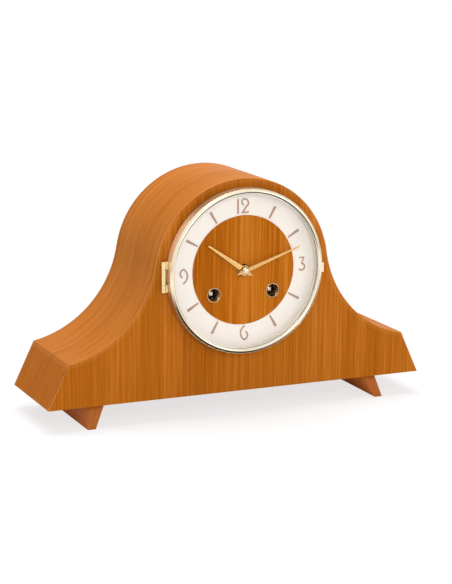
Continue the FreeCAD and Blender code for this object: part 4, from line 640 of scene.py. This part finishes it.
@dataclass(frozen=True)
class Pane(Finish):
    """Clear glass, which mirrors more of the room the more it is turned away."""

    name: str
    tone: Colour

    SMEAR: ClassVar[Layer] = Layer(1.0, 4.0, 0.6, 0.5)
    SMEAR_STRETCH: ClassVar[Triple] = (30.0, 30.0, 12.0)
    SMEAR_STEP: ClassVar[Point2] = (0.45, 0.8)
    GLOSS: ClassVar[Point2] = (0.015, 0.05)
    MIRROR_POWER: ClassVar[float] = 5.0

    def mixed(self) -> bpy.types.Material:
        """Mixes clear and mirror shaders by the angle of view, with faint smears.

        Returns:
            The material.
        """
        bench = Bench.new(self.name)
        smear = bench.noise(bench.point(self.SMEAR_STRETCH), self.SMEAR)
        clear = bench.node("ShaderNodeBsdfTransparent", None, {"Color": (*self.tone, 1.0)})
        rough = smear.eased(*self.SMEAR_STEP).scaled(*self.GLOSS)
        gloss = {"Color": WHITE, "Roughness": rough}
        mirror = bench.node("ShaderNodeBsdfAnisotropic", None, gloss)
        turned = bench.node("ShaderNodeLayerWeight", None, {"Blend": HALF}, "Facing")
        inputs = {0: turned**self.MIRROR_POWER, 1: clear, 2: mirror}
        return bench.close(bench.node("ShaderNodeMixShader", None, inputs))


# Colour of the painted highlight on the veneers' front-facing corners.
VENEER_EDGE_HIGHLIGHT = (0.80, 0.40, 0.15)
FRONT_VENEER = Veneer(
    "front_veneer", (0.300, 0.073, 0.003), (0.416, 0.119, 0.006), (0.54, 0.178, 0.024),
    Grain.UPRIGHT, edge=VENEER_EDGE_HIGHLIGHT,
)
SHELL_VENEER = Veneer(
    "shell_veneer", (0.350, 0.092, 0.007), (0.455, 0.140, 0.014), (0.565, 0.198, 0.030),
    Grain.ROUND_THE_CASE, edge=VENEER_EDGE_HIGHLIGHT, cut=(0.93, 0.88, 0.75),
)
END_VENEER = Veneer(
    "end_veneer", (0.320, 0.077, 0.002), (0.415, 0.112, 0.003), (0.510, 0.156, 0.010),
    Grain.ROUND_THE_CASE, contrast=0.8,
)
DIAL_VENEER = Veneer(
    "dial_veneer", (0.335, 0.080, 0.002), (0.455, 0.127, 0.004), (0.58, 0.194, 0.022),
    Grain.UPRIGHT, contrast=1.5, heart=0.6, pore_depth=0.03,
)
FOOT_WOOD = Veneer(
    "foot_wood", (0.48, 0.144, 0.028), (0.60, 0.190, 0.041), (0.71, 0.245, 0.060),
    Grain.FRONT_TO_BACK, contrast=0.55, lacquer=0.06, cut=(0.72, 0.66, 0.62), cut_axis="Y",
)
BACK_BOARD = Veneer(
    "back_board", (0.25, 0.105, 0.035), (0.35, 0.155, 0.056), (0.46, 0.22, 0.09),
    Grain.LENGTHWISE, contrast=0.8, roughness=0.55, lacquer=0.03,
)
# The dark colour given for below is painted shade on faces that turn towards the floor.
BEZEL_BRASS = Metal(
    "bezel_brass", (0.89, 0.79, 0.60), (0.76, 0.63, 0.42), 0.18, Working.TURNED,
    marks=0.02, tarnish=0.3, below=(0.07, 0.05, 0.028),
)
# Lighter salmon copy of the bezel brass for the ring's outer wall: painted reflection of the lit
# wood, with painted shade above a height and on faces that turn towards the floor.
WALL_PAINTED_LIGHT_BRASS = Metal(
    "wall_painted_light_brass", (0.96, 0.68, 0.45), (0.40, 0.25, 0.13), 0.36, Working.TURNED,
    marks=0.04, tarnish=0.12, metallic=0.55, shade_above=DIAL_CENTRE.z + 0.044,
    below=(0.52, 0.24, 0.07),
)
# Near-black brass on the ring's back edge: painted shade for the contact line against the board.
BACK_EDGE_SHADE_BRASS = Metal(
    "back_edge_shade_brass", (0.22, 0.15, 0.08), (0.13, 0.08, 0.04), 0.22, Working.TURNED,
    marks=0.06, tarnish=0.5,
)
SILVERED_BRASS = Metal(
    "silvered_brass", (0.94, 0.91, 0.85), (0.84, 0.78, 0.68), 0.36, Working.TURNED,
    marks=0.02, tarnish=0.3,
)
HINGE_BRASS = Metal(
    "hinge_brass", (0.87, 0.70, 0.40), (0.68, 0.50, 0.25), 0.18, Working.GRAINED_UPRIGHT,
    marks=0.08, tarnish=0.4,
)
EYELET_METAL = Metal(
    "eyelet_metal", (0.50, 0.31, 0.16), (0.26, 0.15, 0.075), 0.2,
    marks=0.06, tarnish=0.45, metallic=0.85,
)
ARBOR_STEEL = Metal(
    "arbor_steel", (0.66, 0.63, 0.60), (0.42, 0.38, 0.34), 0.16, marks=0.08,
)
HAND_GILT = Metal(
    "hand_gilt", (0.745, 0.45, 0.172), (0.57, 0.325, 0.11), 0.22, marks=0.08,
)
NUT_BRASS = Metal(
    "nut_brass", (0.72, 0.62, 0.44), (0.54, 0.42, 0.25), 0.18, Working.TURNED,
    marks=0.06, tarnish=0.3,
)
MOVEMENT_BRASS = Metal(
    "movement_brass", (0.76, 0.60, 0.32), (0.52, 0.38, 0.18), 0.3, Working.GRAINED_UPRIGHT,
    marks=0.16, tarnish=0.5,
)
WHEEL_BRASS = Metal(
    "wheel_brass", (0.80, 0.64, 0.35), (0.55, 0.41, 0.2), 0.26, Working.GRAINED_ACROSS,
    marks=0.12, tarnish=0.4,
)
BRIGHT_STEEL = Metal(
    "bright_steel", (0.66, 0.67, 0.69), (0.40, 0.41, 0.43), 0.24, Working.TURNED, tarnish=0.3,
)
SPRING_STEEL = Metal(
    "spring_steel", (0.22, 0.26, 0.40), (0.12, 0.13, 0.19), 0.22, tarnish=0.5,
)
GONG_ROD = Metal(
    "gong_rod", (0.60, 0.47, 0.30), (0.38, 0.29, 0.18), 0.32, Working.DRAWN,
    marks=0.2, tarnish=0.5,
)
MARKER_BRONZE = Metal(
    "marker_bronze", (0.42, 0.275, 0.195), (0.33, 0.20, 0.14), 0.45, Working.GRAINED_UPRIGHT,
    tarnish=0.5, metallic=0.25,
)
GONG_IRON = Paint(
    "gong_iron", (0.045, 0.045, 0.048), (0.018, 0.018, 0.02), 0.5, lacquer=0.1, speckle=0.6,
)
DIAL_CREAM = Paint(
    "dial_cream", (0.87, 0.81, 0.755), (0.83, 0.755, 0.69), 0.46, lacquer=0.08,
)
DIAL_GLASS = Pane("dial_glass", (1.0, 1.0, 0.995))


# Tools for the pieces

SMOOTH_BELOW = 35.0
CRISP_ABOVE = math.radians(40.0)
FLAT_BELOW = math.radians(0.4)
SPIN_WELD = 1e-7
COPY_WELD = 1e-6


def dress(finish: Finish, *nodes: str) -> None:
    """Gives nodes of the frame a finish.

    Args:
        finish: The finish.
        nodes: The nodes' names.
    """
    for name in nodes:
        piece = frame["nodes"][name]
        if not piece.material_slots:
            piece.data.materials.append(None)
        for slot in piece.material_slots:
            slot.material = finish.material()
        LOG.info("%s in %s", name, finish.name)


def as_data(name: str, mesh: bmesh.types.BMesh) -> bpy.types.Mesh:
    """Writes a mesh out under a name, and uses it up.

    Args:
        name: The name.
        mesh: The mesh.

    Returns:
        The written mesh.
    """
    data = bpy.data.meshes.new(name)
    mesh.to_mesh(data)
    mesh.free()
    return data


def in_scene(name: str, data: bpy.types.ID) -> bpy.types.Object:
    """Puts a mesh, a light or a camera into the scene.

    Args:
        name: The object's name.
        data: What it holds.

    Returns:
        The object.
    """
    made = bpy.data.objects.new(name, data)
    bpy.context.scene.collection.objects.link(made)
    return made


def set_up(
    name: str, mesh: bmesh.types.BMesh, finish: Finish, node: str,
    sharp: float = SMOOTH_BELOW,
) -> bpy.types.Object:
    """Makes a mesh a piece that stands for a node and moves with its body.

    Args:
        name: The piece's name.
        mesh: Its mesh, which is used up.
        finish: Its finish.
        node: The node that it stands for.
        sharp: The angle in degrees past which an edge stays crisp.

    Returns:
        The piece.
    """
    data = as_data(name, mesh)
    data.shade_smooth()
    data.set_sharp_from_angle(angle=math.radians(sharp))
    data.materials.append(finish.material())
    piece = in_scene(name, data)
    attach(piece, frame["nodes"][node]["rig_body"])
    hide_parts(node)
    LOG.info("%s for %s in %s", name, node, finish.name)
    return piece


def spun(
    mesh: bmesh.types.BMesh, profile: Sequence[Point2], steps: int, closed: bool = True,
    centre: Vector = DIAL_CENTRE,
) -> None:
    """Turns a section round an axis that runs front to back.

    Args:
        mesh: The mesh that it is added to.
        profile: Its corners, as distance from the axis and place along y, in mm.
        steps: How many steps the turn has.
        closed: True where the section's last corner joins its first.
        centre: A point of the axis.
    """
    corners = [
        mesh.verts.new((centre.x + reach * MM, along * MM, centre.z)) for reach, along in profile
    ]
    pairs = list(zip(corners, corners[1:]))
    if closed:
        pairs.append((corners[-1], corners[0]))
    edges = [mesh.edges.new(pair) for pair in pairs]
    bmesh.ops.spin(
        mesh, geom=corners + edges, cent=centre, axis=(0.0, 1.0, 0.0), dvec=(0.0, 0.0, 0.0),
        angle=2.0 * math.pi, steps=steps, use_merge=True, use_duplicate=False,
    )
    bmesh.ops.remove_doubles(mesh, verts=mesh.verts, dist=SPIN_WELD)
    bmesh.ops.recalc_face_normals(mesh, faces=mesh.faces)


def arc(centre: Point2, radius: float, start: float, end: float, steps: int) -> list[Point2]:
    """Corners along an arc of a section.

    Args:
        centre: The arc's centre.
        radius: Its radius.
        start: Its first angle in degrees, from the outward direction towards +y.
        end: Its last angle.
        steps: How many corners it has, less one.

    Returns:
        The corners.
    """
    angles = [math.radians(start + (end - start) * index / steps) for index in range(steps + 1)]
    return [(centre[0] + radius * math.cos(a), centre[1] + radius * math.sin(a)) for a in angles]


def eased_copy(
    node: str, width: float, chosen: Callable[[Vector], bool], rounds: int = 2,
) -> bmesh.types.BMesh:
    """A copy of a node's mesh with its corners eased.

    Args:
        node: The node's name.
        width: The width of the eased corner, in mm.
        chosen: Says by an edge's middle whether it is eased.
        rounds: How many faces the corner gets, where one is a plain chamfer.

    Returns:
        The eased mesh.
    """
    mesh = bmesh.new()
    mesh.from_mesh(frame["nodes"][node].data)
    bmesh.ops.remove_doubles(mesh, verts=mesh.verts, dist=COPY_WELD)
    bmesh.ops.dissolve_limit(mesh, angle_limit=FLAT_BELOW, verts=mesh.verts, edges=mesh.edges)
    edges = []
    for edge in mesh.edges:
        middle = (edge.verts[0].co + edge.verts[1].co) / 2
        if len(edge.link_faces) == 2 and edge.calc_face_angle() > CRISP_ABOVE and chosen(middle):
            edges.append(edge)
    bmesh.ops.bevel(
        mesh, geom=edges, offset=width * MM, offset_type="OFFSET", affect="EDGES",
        segments=rounds, profile=HALF, material=-1, clamp_overlap=True,
    )
    return mesh


# Sub-assemblies


@dataclass
class CaseWork:
    """The wooden case: front, wrapped shell, ends, base and feet."""

    corner: float = 0.45
    foot_corner: float = 0.8
    end_reach: float = 0.178
    shoulder: float = 0.06
    front_slack: float = 1e-5
    boards: tuple[str, ...] = ("end_left", "end_right", "base_board")

    def shows_at_end(self, middle: Vector) -> bool:
        """True for the slanting front corners at the two ends of the case."""
        in_front = middle.y < FRONT + self.front_slack
        return in_front and abs(middle.x) > self.end_reach and middle.z < self.shoulder

    def build(self) -> None:
        """Dresses the boards, chamfers the front's end corners and rounds the feet's corners."""
        front = eased_copy("front_board", self.corner, self.shows_at_end, 1)
        set_up("chamfered_front", front, FRONT_VENEER, "front_board")
        dress(SHELL_VENEER, "case_shell")
        dress(END_VENEER, *self.boards)
        for side in ("left", "right"):
            mesh = eased_copy(f"foot_{side}", self.foot_corner, lambda middle: True)
            set_up(f"eased_foot_{side}", mesh, FOOT_WOOD, f"foot_{side}")


@dataclass
class BackWork:
    """The back panel with its hinged door."""

    boards: tuple[str, ...] = ("back_panel", "back_door")
    fittings: tuple[str, ...] = ("door_knob", "door_hinge_fixed", "door_hinge_swinging")

    def build(self) -> None:
        """Dresses the panel, the door, its knob and its hinges."""
        dress(BACK_BOARD, *self.boards)
        dress(HINGE_BRASS, *self.fittings)


@dataclass
class DialWork:
    """The dial: its ring, painted plate, veneered centre, figures and winding eyelets."""

    winding_reach: float = 30.0
    winding_drop: float = 21.5
    bore: float = 5.9
    sleeve: float = 6.6
    lip: float = 7.05
    lip_height: float = 0.6
    throat: float = 4.9
    steps: int = 72
    lip_steps: int = 12
    sharp: float = 40.0

    def eyelets(self) -> None:
        """Turns the two sleeves of the winding holes, which narrow behind their rolled lips."""
        low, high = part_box("winding_eyelets")
        front, rear = low.y / MM, high.y / MM
        roll = (self.lip - self.bore) / 2
        brim = front + self.lip_height
        profile = [(self.throat, rear)]
        profile += arc((self.bore + roll, front + roll), roll, -180.0, 0.0, self.lip_steps)
        profile += [(self.lip, brim), (self.sleeve, brim), (self.sleeve, rear)]
        mesh = bmesh.new()
        for side in (-1.0, 1.0):
            offset = Vector((side * self.winding_reach, 0.0, -self.winding_drop))
            spun(mesh, profile, self.steps, centre=DIAL_CENTRE + offset * MM)
        set_up(
            "rolled_eyelets", mesh, EYELET_METAL, "winding_eyelets", self.sharp,
        )

    def build(self) -> None:
        """Dresses the dial's pieces and turns its eyelets."""
        dress(SILVERED_BRASS, "base_ring")
        dress(DIAL_CREAM, "dial_plate")
        dress(DIAL_VENEER, "dial_centre")
        dress(MARKER_BRONZE, "hour_markers")
        self.eyelets()


@dataclass
class BezelWork:
    """The hinged bezel: a turned brass ring, a domed glass, its holder, hinge and finger tab."""

    outer: float = 77.9
    shoulder: float = 77.4
    wall: float = 1.9
    lift: float = 0.8
    back_edge: float = 0.5
    crown_depth: float = 11.6
    rim: float = 3.8
    lip: float = 0.18
    lip_drop: float = 1.75
    lip_end: float = -150.0
    lip_steps: int = 20
    bevel_in: float = 0.7
    crown: float = 1.2
    crown_half: float = 30.0
    crown_steps: int = 10
    glass_inset: float = 2.6
    seat: float = 1.2
    seat_depth: float = 2.9
    glass_curve: float = 300.0
    glass_wall: float = 1.6
    glass_edge: float = 74.7
    glass_rows: int = 24
    glass_steps: int = 160
    steps: int = 240
    sharp: float = 10.0
    hinge: tuple[str, ...] = ("bezel_hinge_knuckle", "bezel_hinge_base", "bezel_hinge_pin")

    def sections(self) -> list[tuple[Finish, list[Point2]]]:
        """The ring's section from its back edge round the front to the seat.

        Returns:
            Runs of corners that follow each other, with the finish of each run.
        """
        back = FRONT / MM - self.lift
        front = FRONT / MM - self.crown_depth
        rim = self.shoulder - self.rim
        inner = self.outer - self.wall
        lip_centre = (self.shoulder - self.lip, front + self.lip_drop)
        lip = arc(lip_centre, self.lip, 0.0, self.lip_end, self.lip_steps)
        half = self.crown_half
        crown_reach = rim + self.bevel_in + self.crown * math.sin(math.radians(half))
        crown_centre = (crown_reach, front + self.crown)
        crown = arc(crown_centre, self.crown, half - 90.0, -90.0 - half, self.crown_steps)
        brow = (crown[-1][0] - self.bevel_in, crown[-1][1] + self.bevel_in)
        seat_front = front + self.glass_inset
        seat_back = seat_front + self.seat_depth
        seat_reach = rim + self.seat
        edge = [
            (inner, back), (self.outer - self.back_edge, back), (self.outer, back - self.back_edge),
        ]
        seat = [
            (rim, seat_front), (seat_reach, seat_front),
            (seat_reach, seat_back), (inner, seat_back),
        ]
        return [
            # The back edge carries painted shade, and the wall a painted reflection with painted
            # shade.
            (BACK_EDGE_SHADE_BRASS, edge),
            (WALL_PAINTED_LIGHT_BRASS, [edge[-1], lip[0]]),
            (BEZEL_BRASS, [*lip, *crown, brow]),
            (SILVERED_BRASS, [brow, *seat, edge[0]]),
        ]

    def ring(self) -> None:
        """Turns the ring run by run. A face counts its finish from one, and new faces have none."""
        finishes = [BEZEL_BRASS, BACK_EDGE_SHADE_BRASS, WALL_PAINTED_LIGHT_BRASS, SILVERED_BRASS]
        mesh = bmesh.new()
        for finish, corners in self.sections():
            spun(mesh, corners, self.steps, closed=False)
            for side in mesh.faces:
                if side.material_index == 0:
                    side.material_index = finishes.index(finish) + 1
        for side in mesh.faces:
            side.material_index -= 1
        moulding = set_up(
            "bezel_moulding", mesh, BEZEL_BRASS, "bezel_ring", self.sharp,
        )
        for finish in finishes[1:]:
            moulding.data.materials.append(finish.material())

    def glass(self) -> None:
        """Turns the domed glass."""
        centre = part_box("bezel_glass")[0].y / MM + self.glass_curve
        hollow = self.glass_curve - self.glass_wall
        reaches = [self.glass_edge * row / self.glass_rows for row in range(self.glass_rows + 1)]
        front = [(reach, centre - math.sqrt(self.glass_curve**2 - reach**2)) for reach in reaches]
        rear = [(reach, centre - math.sqrt(hollow**2 - reach**2)) for reach in reversed(reaches)]
        mesh = bmesh.new()
        spun(mesh, front + rear, self.glass_steps, closed=False)
        set_up("domed_glass", mesh, DIAL_GLASS, "bezel_glass")

    def build(self) -> None:
        """Turns the ring and the glass, and dresses what is small."""
        self.ring()
        self.glass()
        dress(SILVERED_BRASS, "glass_retainer")
        dress(HINGE_BRASS, *self.hinge)
        dress(BEZEL_BRASS, "bezel_tab")


@dataclass(frozen=True)
class HandShape:
    """One hand: its node, where it points in degrees from the top, and its sizes in mm."""

    node: str
    angle: float
    length: float
    width: float
    hub: float
    bore: float


@dataclass
class HandWork:
    """The two gilt hands, at ten hours and twelve minutes, and the nut that holds them."""

    tail: float = 10.0
    tip: float = 1.4
    tip_ridge: float = 0.1
    swell: float = 0.7
    edge: float = 0.16
    thickness: float = 0.6
    boss_edge: float = 0.2
    boss_steps: int = 64
    weld: float = 1e-5
    sharp: float = 12.0
    dial_turn: float = -1.4
    shapes: tuple[HandShape, ...] = (
        HandShape("hour_hand", angle=306.0, length=45.0, width=4.8, hub=5.0, bore=3.12),
        HandShape("minute_hand", angle=72.0, length=58.6, width=3.7, hub=3.8, bore=2.32),
    )

    def blade(self, shape: HandShape) -> bmesh.types.BMesh:
        """Makes a tapered blade with a ridge along its middle and a pointed tail.

        Args:
            shape: The hand's shape.

        Returns:
            The blade in mm, pointing along x with its ridge towards z.
        """
        hub, edge, half = shape.hub, self.edge, shape.width / 2
        ridge = [(-self.tail, edge), (-hub / 2, self.thickness), (hub, self.thickness)]
        ridge.append((shape.length, edge + self.tip_ridge))
        side = [(-hub / 2, half + self.swell), (hub, half), (shape.length, self.tip / 2)]
        mesh = bmesh.new()
        middle = [mesh.verts.new((along, 0.0, height)) for along, height in ridge]
        brim = [mesh.verts.new((along, aside, edge)) for along, aside in side]
        mesh.faces.new((middle[0], middle[1], brim[0]))
        for index in range(2):
            mesh.faces.new((middle[index + 1], middle[index + 2], brim[index + 1], brim[index]))
        half_blade = mesh.verts[:] + mesh.edges[:] + mesh.faces[:]
        bmesh.ops.mirror(mesh, geom=half_blade, axis="Y", merge_dist=self.weld)
        bmesh.ops.remove_doubles(mesh, verts=mesh.verts, dist=self.weld)
        rims = [rim for rim in mesh.edges if rim.is_boundary]
        for item in bmesh.ops.extrude_edge_only(mesh, edges=rims)["geom"]:
            if isinstance(item, bmesh.types.BMVert):
                item.co.z = 0.0
        open_edges = [rim for rim in mesh.edges if rim.is_boundary]
        bmesh.ops.holes_fill(mesh, edges=open_edges, sides=0)
        bmesh.ops.recalc_face_normals(mesh, faces=mesh.faces)
        return mesh

    def hand(self, shape: HandShape) -> None:
        """Sets a blade and its turned boss on the dial's axis.

        Args:
            shape: The hand's shape.
        """
        low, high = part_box(shape.node)
        rear, front = high.y / MM, low.y / MM
        angle = math.radians(shape.angle + self.dial_turn)
        sine, cosine = math.sin(angle), math.cos(angle)
        turn = Matrix(((sine, cosine, 0.0), (0.0, 0.0, -1.0), (cosine, -sine, 0.0))).to_4x4()
        place = Matrix.Translation((0.0, rear * MM, DIAL_CENTRE.z)) @ turn @ Matrix.Scale(MM, 4)
        mesh = self.blade(shape)
        bmesh.ops.transform(mesh, matrix=place, verts=mesh.verts)
        hub, bore, step = shape.hub, shape.bore, self.boss_edge
        profile = [(bore, rear), (hub, rear), (hub, front + step)]
        profile += [(hub - step, front), (bore, front)]
        boss = bmesh.new()
        spun(boss, profile, self.boss_steps)
        joined = as_data(f"{shape.node}_boss", boss)
        mesh.from_mesh(joined)
        bpy.data.meshes.remove(joined)
        bmesh.ops.recalc_face_normals(mesh, faces=mesh.faces)
        set_up(f"ridged_{shape.node}", mesh, HAND_GILT, shape.node, self.sharp)

    def build(self) -> None:
        """Makes both hands, and dresses the nut."""
        for shape in self.shapes:
            self.hand(shape)
        dress(NUT_BRASS, "hand_nut")


@dataclass
class MovementWork:
    """The movement: its plates, wheels, arbors, springs and levers."""

    plates: tuple[str, ...] = ("front_plate", "back_plate", "escapement_bridge")
    wheels: tuple[str, ...] = (
        "minute_wheel", "hour_wheel", "going_barrel", "intermediate_wheel", "centre_wheel",
        "third_wheel", "fourth_wheel", "escape_wheel", "balance_wheel", "strike_barrel",
        "strike_second_wheel", "count_wheel", "strike_third_wheel", "locking_wheel", "strike_fly",
    )
    steel: tuple[str, ...] = (
        "cannon_pinion", "plate_pillars", "pillar_nuts", "movement_posts", "movement_screws",
        "pallet_lever", "locking_lever", "hammer",
    )
    springs: tuple[str, ...] = ("going_click", "strike_click", "hairspring")
    arbors: tuple[str, ...] = ("going_arbor", "strike_arbor")
    arbor_corner: float = 1.3
    arbor_tip: float = 0.5
    arbor_rounds: int = 4

    def build(self) -> None:
        """Dresses the movement's pieces by what they are made of, and rounds the arbors' tips."""
        dress(MOVEMENT_BRASS, *self.plates)
        dress(WHEEL_BRASS, *self.wheels)
        dress(BRIGHT_STEEL, *self.steel)
        for arbor in self.arbors:
            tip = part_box(arbor)[0].y + self.arbor_tip * MM
            mesh = eased_copy(
                arbor, self.arbor_corner, lambda middle: middle.y < tip, self.arbor_rounds,
            )
            set_up(f"rounded_{arbor}", mesh, ARBOR_STEEL, arbor)
        dress(SPRING_STEEL, *self.springs)


@dataclass
class GongWork:
    """The iron gong block and its two rods."""

    block: str = "gong_block"
    rods: str = "gong_rods"

    def build(self) -> None:
        """Dresses the block and the rods."""
        dress(GONG_IRON, self.block)
        dress(GONG_ROD, self.rods)


# Studio


@dataclass(frozen=True)
class Sweep(Finish):
    """The pale floor, which keeps soft shadows near the clock and is white further out."""

    name: str = "studio_floor"
    tone: float = 0.9
    speck_depth: float = 0.03
    glow: float = 0.72
    near: float = 0.22
    far: float = 0.6

    SPECK: ClassVar[Layer] = Layer(300.0, 2.0, 0.5)

    def mixed(self) -> bpy.types.Material:
        """Mixes a pale matt floor with a white that only the camera sees.

        Returns:
            The material.
        """
        bench = Bench.new(self.name)
        speck = bench.noise(bench.point(), self.SPECK)
        pale = bench.tint(speck, (self.tone,) * 3, (self.tone - self.speck_depth,) * 3)
        floor = bench.node("ShaderNodeBsdfDiffuse", None, {"Color": pale})
        white = bench.node("ShaderNodeEmission", None, {"Color": WHITE, "Strength": 1.0})
        eye = bench.node("ShaderNodeLightPath", output="Is Camera Ray")
        away = bench.reach(bench.point())
        share = self.glow + away.eased(self.near, self.far) * (1.0 - self.glow)
        inputs = {0: eye * share, 1: floor, 2: white}
        return bench.close(bench.node("ShaderNodeMixShader", None, inputs))


@dataclass(frozen=True)
class SoftBox:
    """A soft light: where it hangs, what it faces, its size in metres and power in watts."""

    name: str
    place: Triple
    aim: Triple
    width: float
    height: float
    power: float

    def hang(self) -> None:
        """Puts the light into the scene."""
        data = bpy.data.lights.new(self.name, "AREA")
        data.shape = "RECTANGLE"
        data.size, data.size_y = self.width, self.height
        data.energy = self.power
        facing = (Vector(self.aim) - Vector(self.place)).to_track_quat("-Z", "Y")
        turn = facing.to_matrix().to_4x4()
        in_scene(self.name, data).matrix_world = Matrix.Translation(self.place) @ turn


@dataclass
class Studio:
    """The floor, the soft lights, the white room and the camera."""

    room: float = 0.42
    floor_width: float = 9.0
    floor_squares: int = 8
    eye: Triple = (-0.7064, FRONT - 1.498, 0.48455)
    yaw: float = 24.61
    pitch: float = 12.53
    roll: float = 0.74
    focal: float = 1824.5
    sensor: float = 36.0
    frame_width: float = 452.0
    frame_height: float = 584.0
    centre: Point2 = (222.8, 292.3)
    boxes: tuple[SoftBox, ...] = (
        SoftBox("overhead_box", (-0.08, 0.15, 1.6), (0.0, 0.0, 0.1), 1.4, 1.0, 24.0),
        SoftBox("front_left_box", (-0.55, -2.2, 1.2), (0.0, 0.0, 0.12), 0.9, 1.2, 19.0),
        SoftBox("right_box", (1.5, -1.5, 0.8), (0.0, 0.0, 0.12), 0.8, 1.0, 7.5),
    )

    def floor(self) -> None:
        """Lays the flat floor."""
        mesh = bmesh.new()
        squares = self.floor_squares
        bmesh.ops.create_grid(
            mesh, x_segments=squares, y_segments=squares, size=self.floor_width / 2,
        )
        data = as_data("studio_floor", mesh)
        data.materials.append(Sweep().material())
        in_scene("studio_floor", data)

    def white_room(self) -> None:
        """Sets the room: white to the camera, metal and glass, and softer as a light."""
        bench = Bench(bpy.data.worlds.new("white_room"))
        eye, mirrored, through = (
            bench.node("ShaderNodeLightPath", output=f"Is {ray} Ray")
            for ray in ("Camera", "Glossy", "Transmission")
        )
        seen = eye.most(mirrored).most(through)
        level = {"Value": seen, "To Min": self.room, "To Max": 1.0}
        strength = bench.node("ShaderNodeMapRange", None, level)
        inputs = {"Color": WHITE, "Strength": strength}
        sky = bench.node("ShaderNodeBackground", None, inputs)
        bpy.context.scene.world = bench.close(sky, "ShaderNodeOutputWorld")

    def camera(self) -> None:
        """Sets up the camera at the photograph's place."""
        yaw, pitch, roll = (math.radians(angle) for angle in (self.yaw, self.pitch, self.roll))
        flat = math.cos(pitch)
        ahead = Vector((math.sin(yaw) * flat, math.cos(yaw) * flat, -math.sin(pitch)))
        level = Vector((math.cos(yaw), -math.sin(yaw), 0.0))
        rise = level.cross(ahead)
        right = math.cos(roll) * level + math.sin(roll) * rise
        up = math.cos(roll) * rise - math.sin(roll) * level
        data = bpy.data.cameras.new("photograph_camera")
        data.sensor_fit = "AUTO"
        data.sensor_width = self.sensor
        data.lens = self.focal / self.frame_height * self.sensor
        data.shift_x = (self.frame_width / 2 - self.centre[0]) / self.frame_height
        data.shift_y = (self.centre[1] - self.frame_height / 2) / self.frame_height
        camera = in_scene("photograph_camera", data)
        turn = Matrix((right, up, -ahead)).transposed().to_4x4()
        camera.matrix_world = Matrix.Translation(self.eye) @ turn
        bpy.context.scene.camera = camera

    def build(self) -> None:
        """Sets up the floor, the room, the lights and the camera."""
        bpy.context.scene.view_settings.view_transform = "Standard"
        self.floor()
        self.white_room()
        for box in self.boxes:
            box.hang()
        self.camera()


def main() -> None:
    """Builds the clock's looks in order."""
    logging.basicConfig(level=logging.INFO, format="%(name)s: %(message)s")
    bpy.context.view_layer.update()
    works = (
        CaseWork(), BackWork(), DialWork(), BezelWork(), HandWork(), MovementWork(), GongWork(),
        Studio(),
    )
    for work in works:
        work.build()
        LOG.info("%s built", type(work).__name__)
    bpy.context.view_layer.update()


if __name__ == "__main__":
    main()
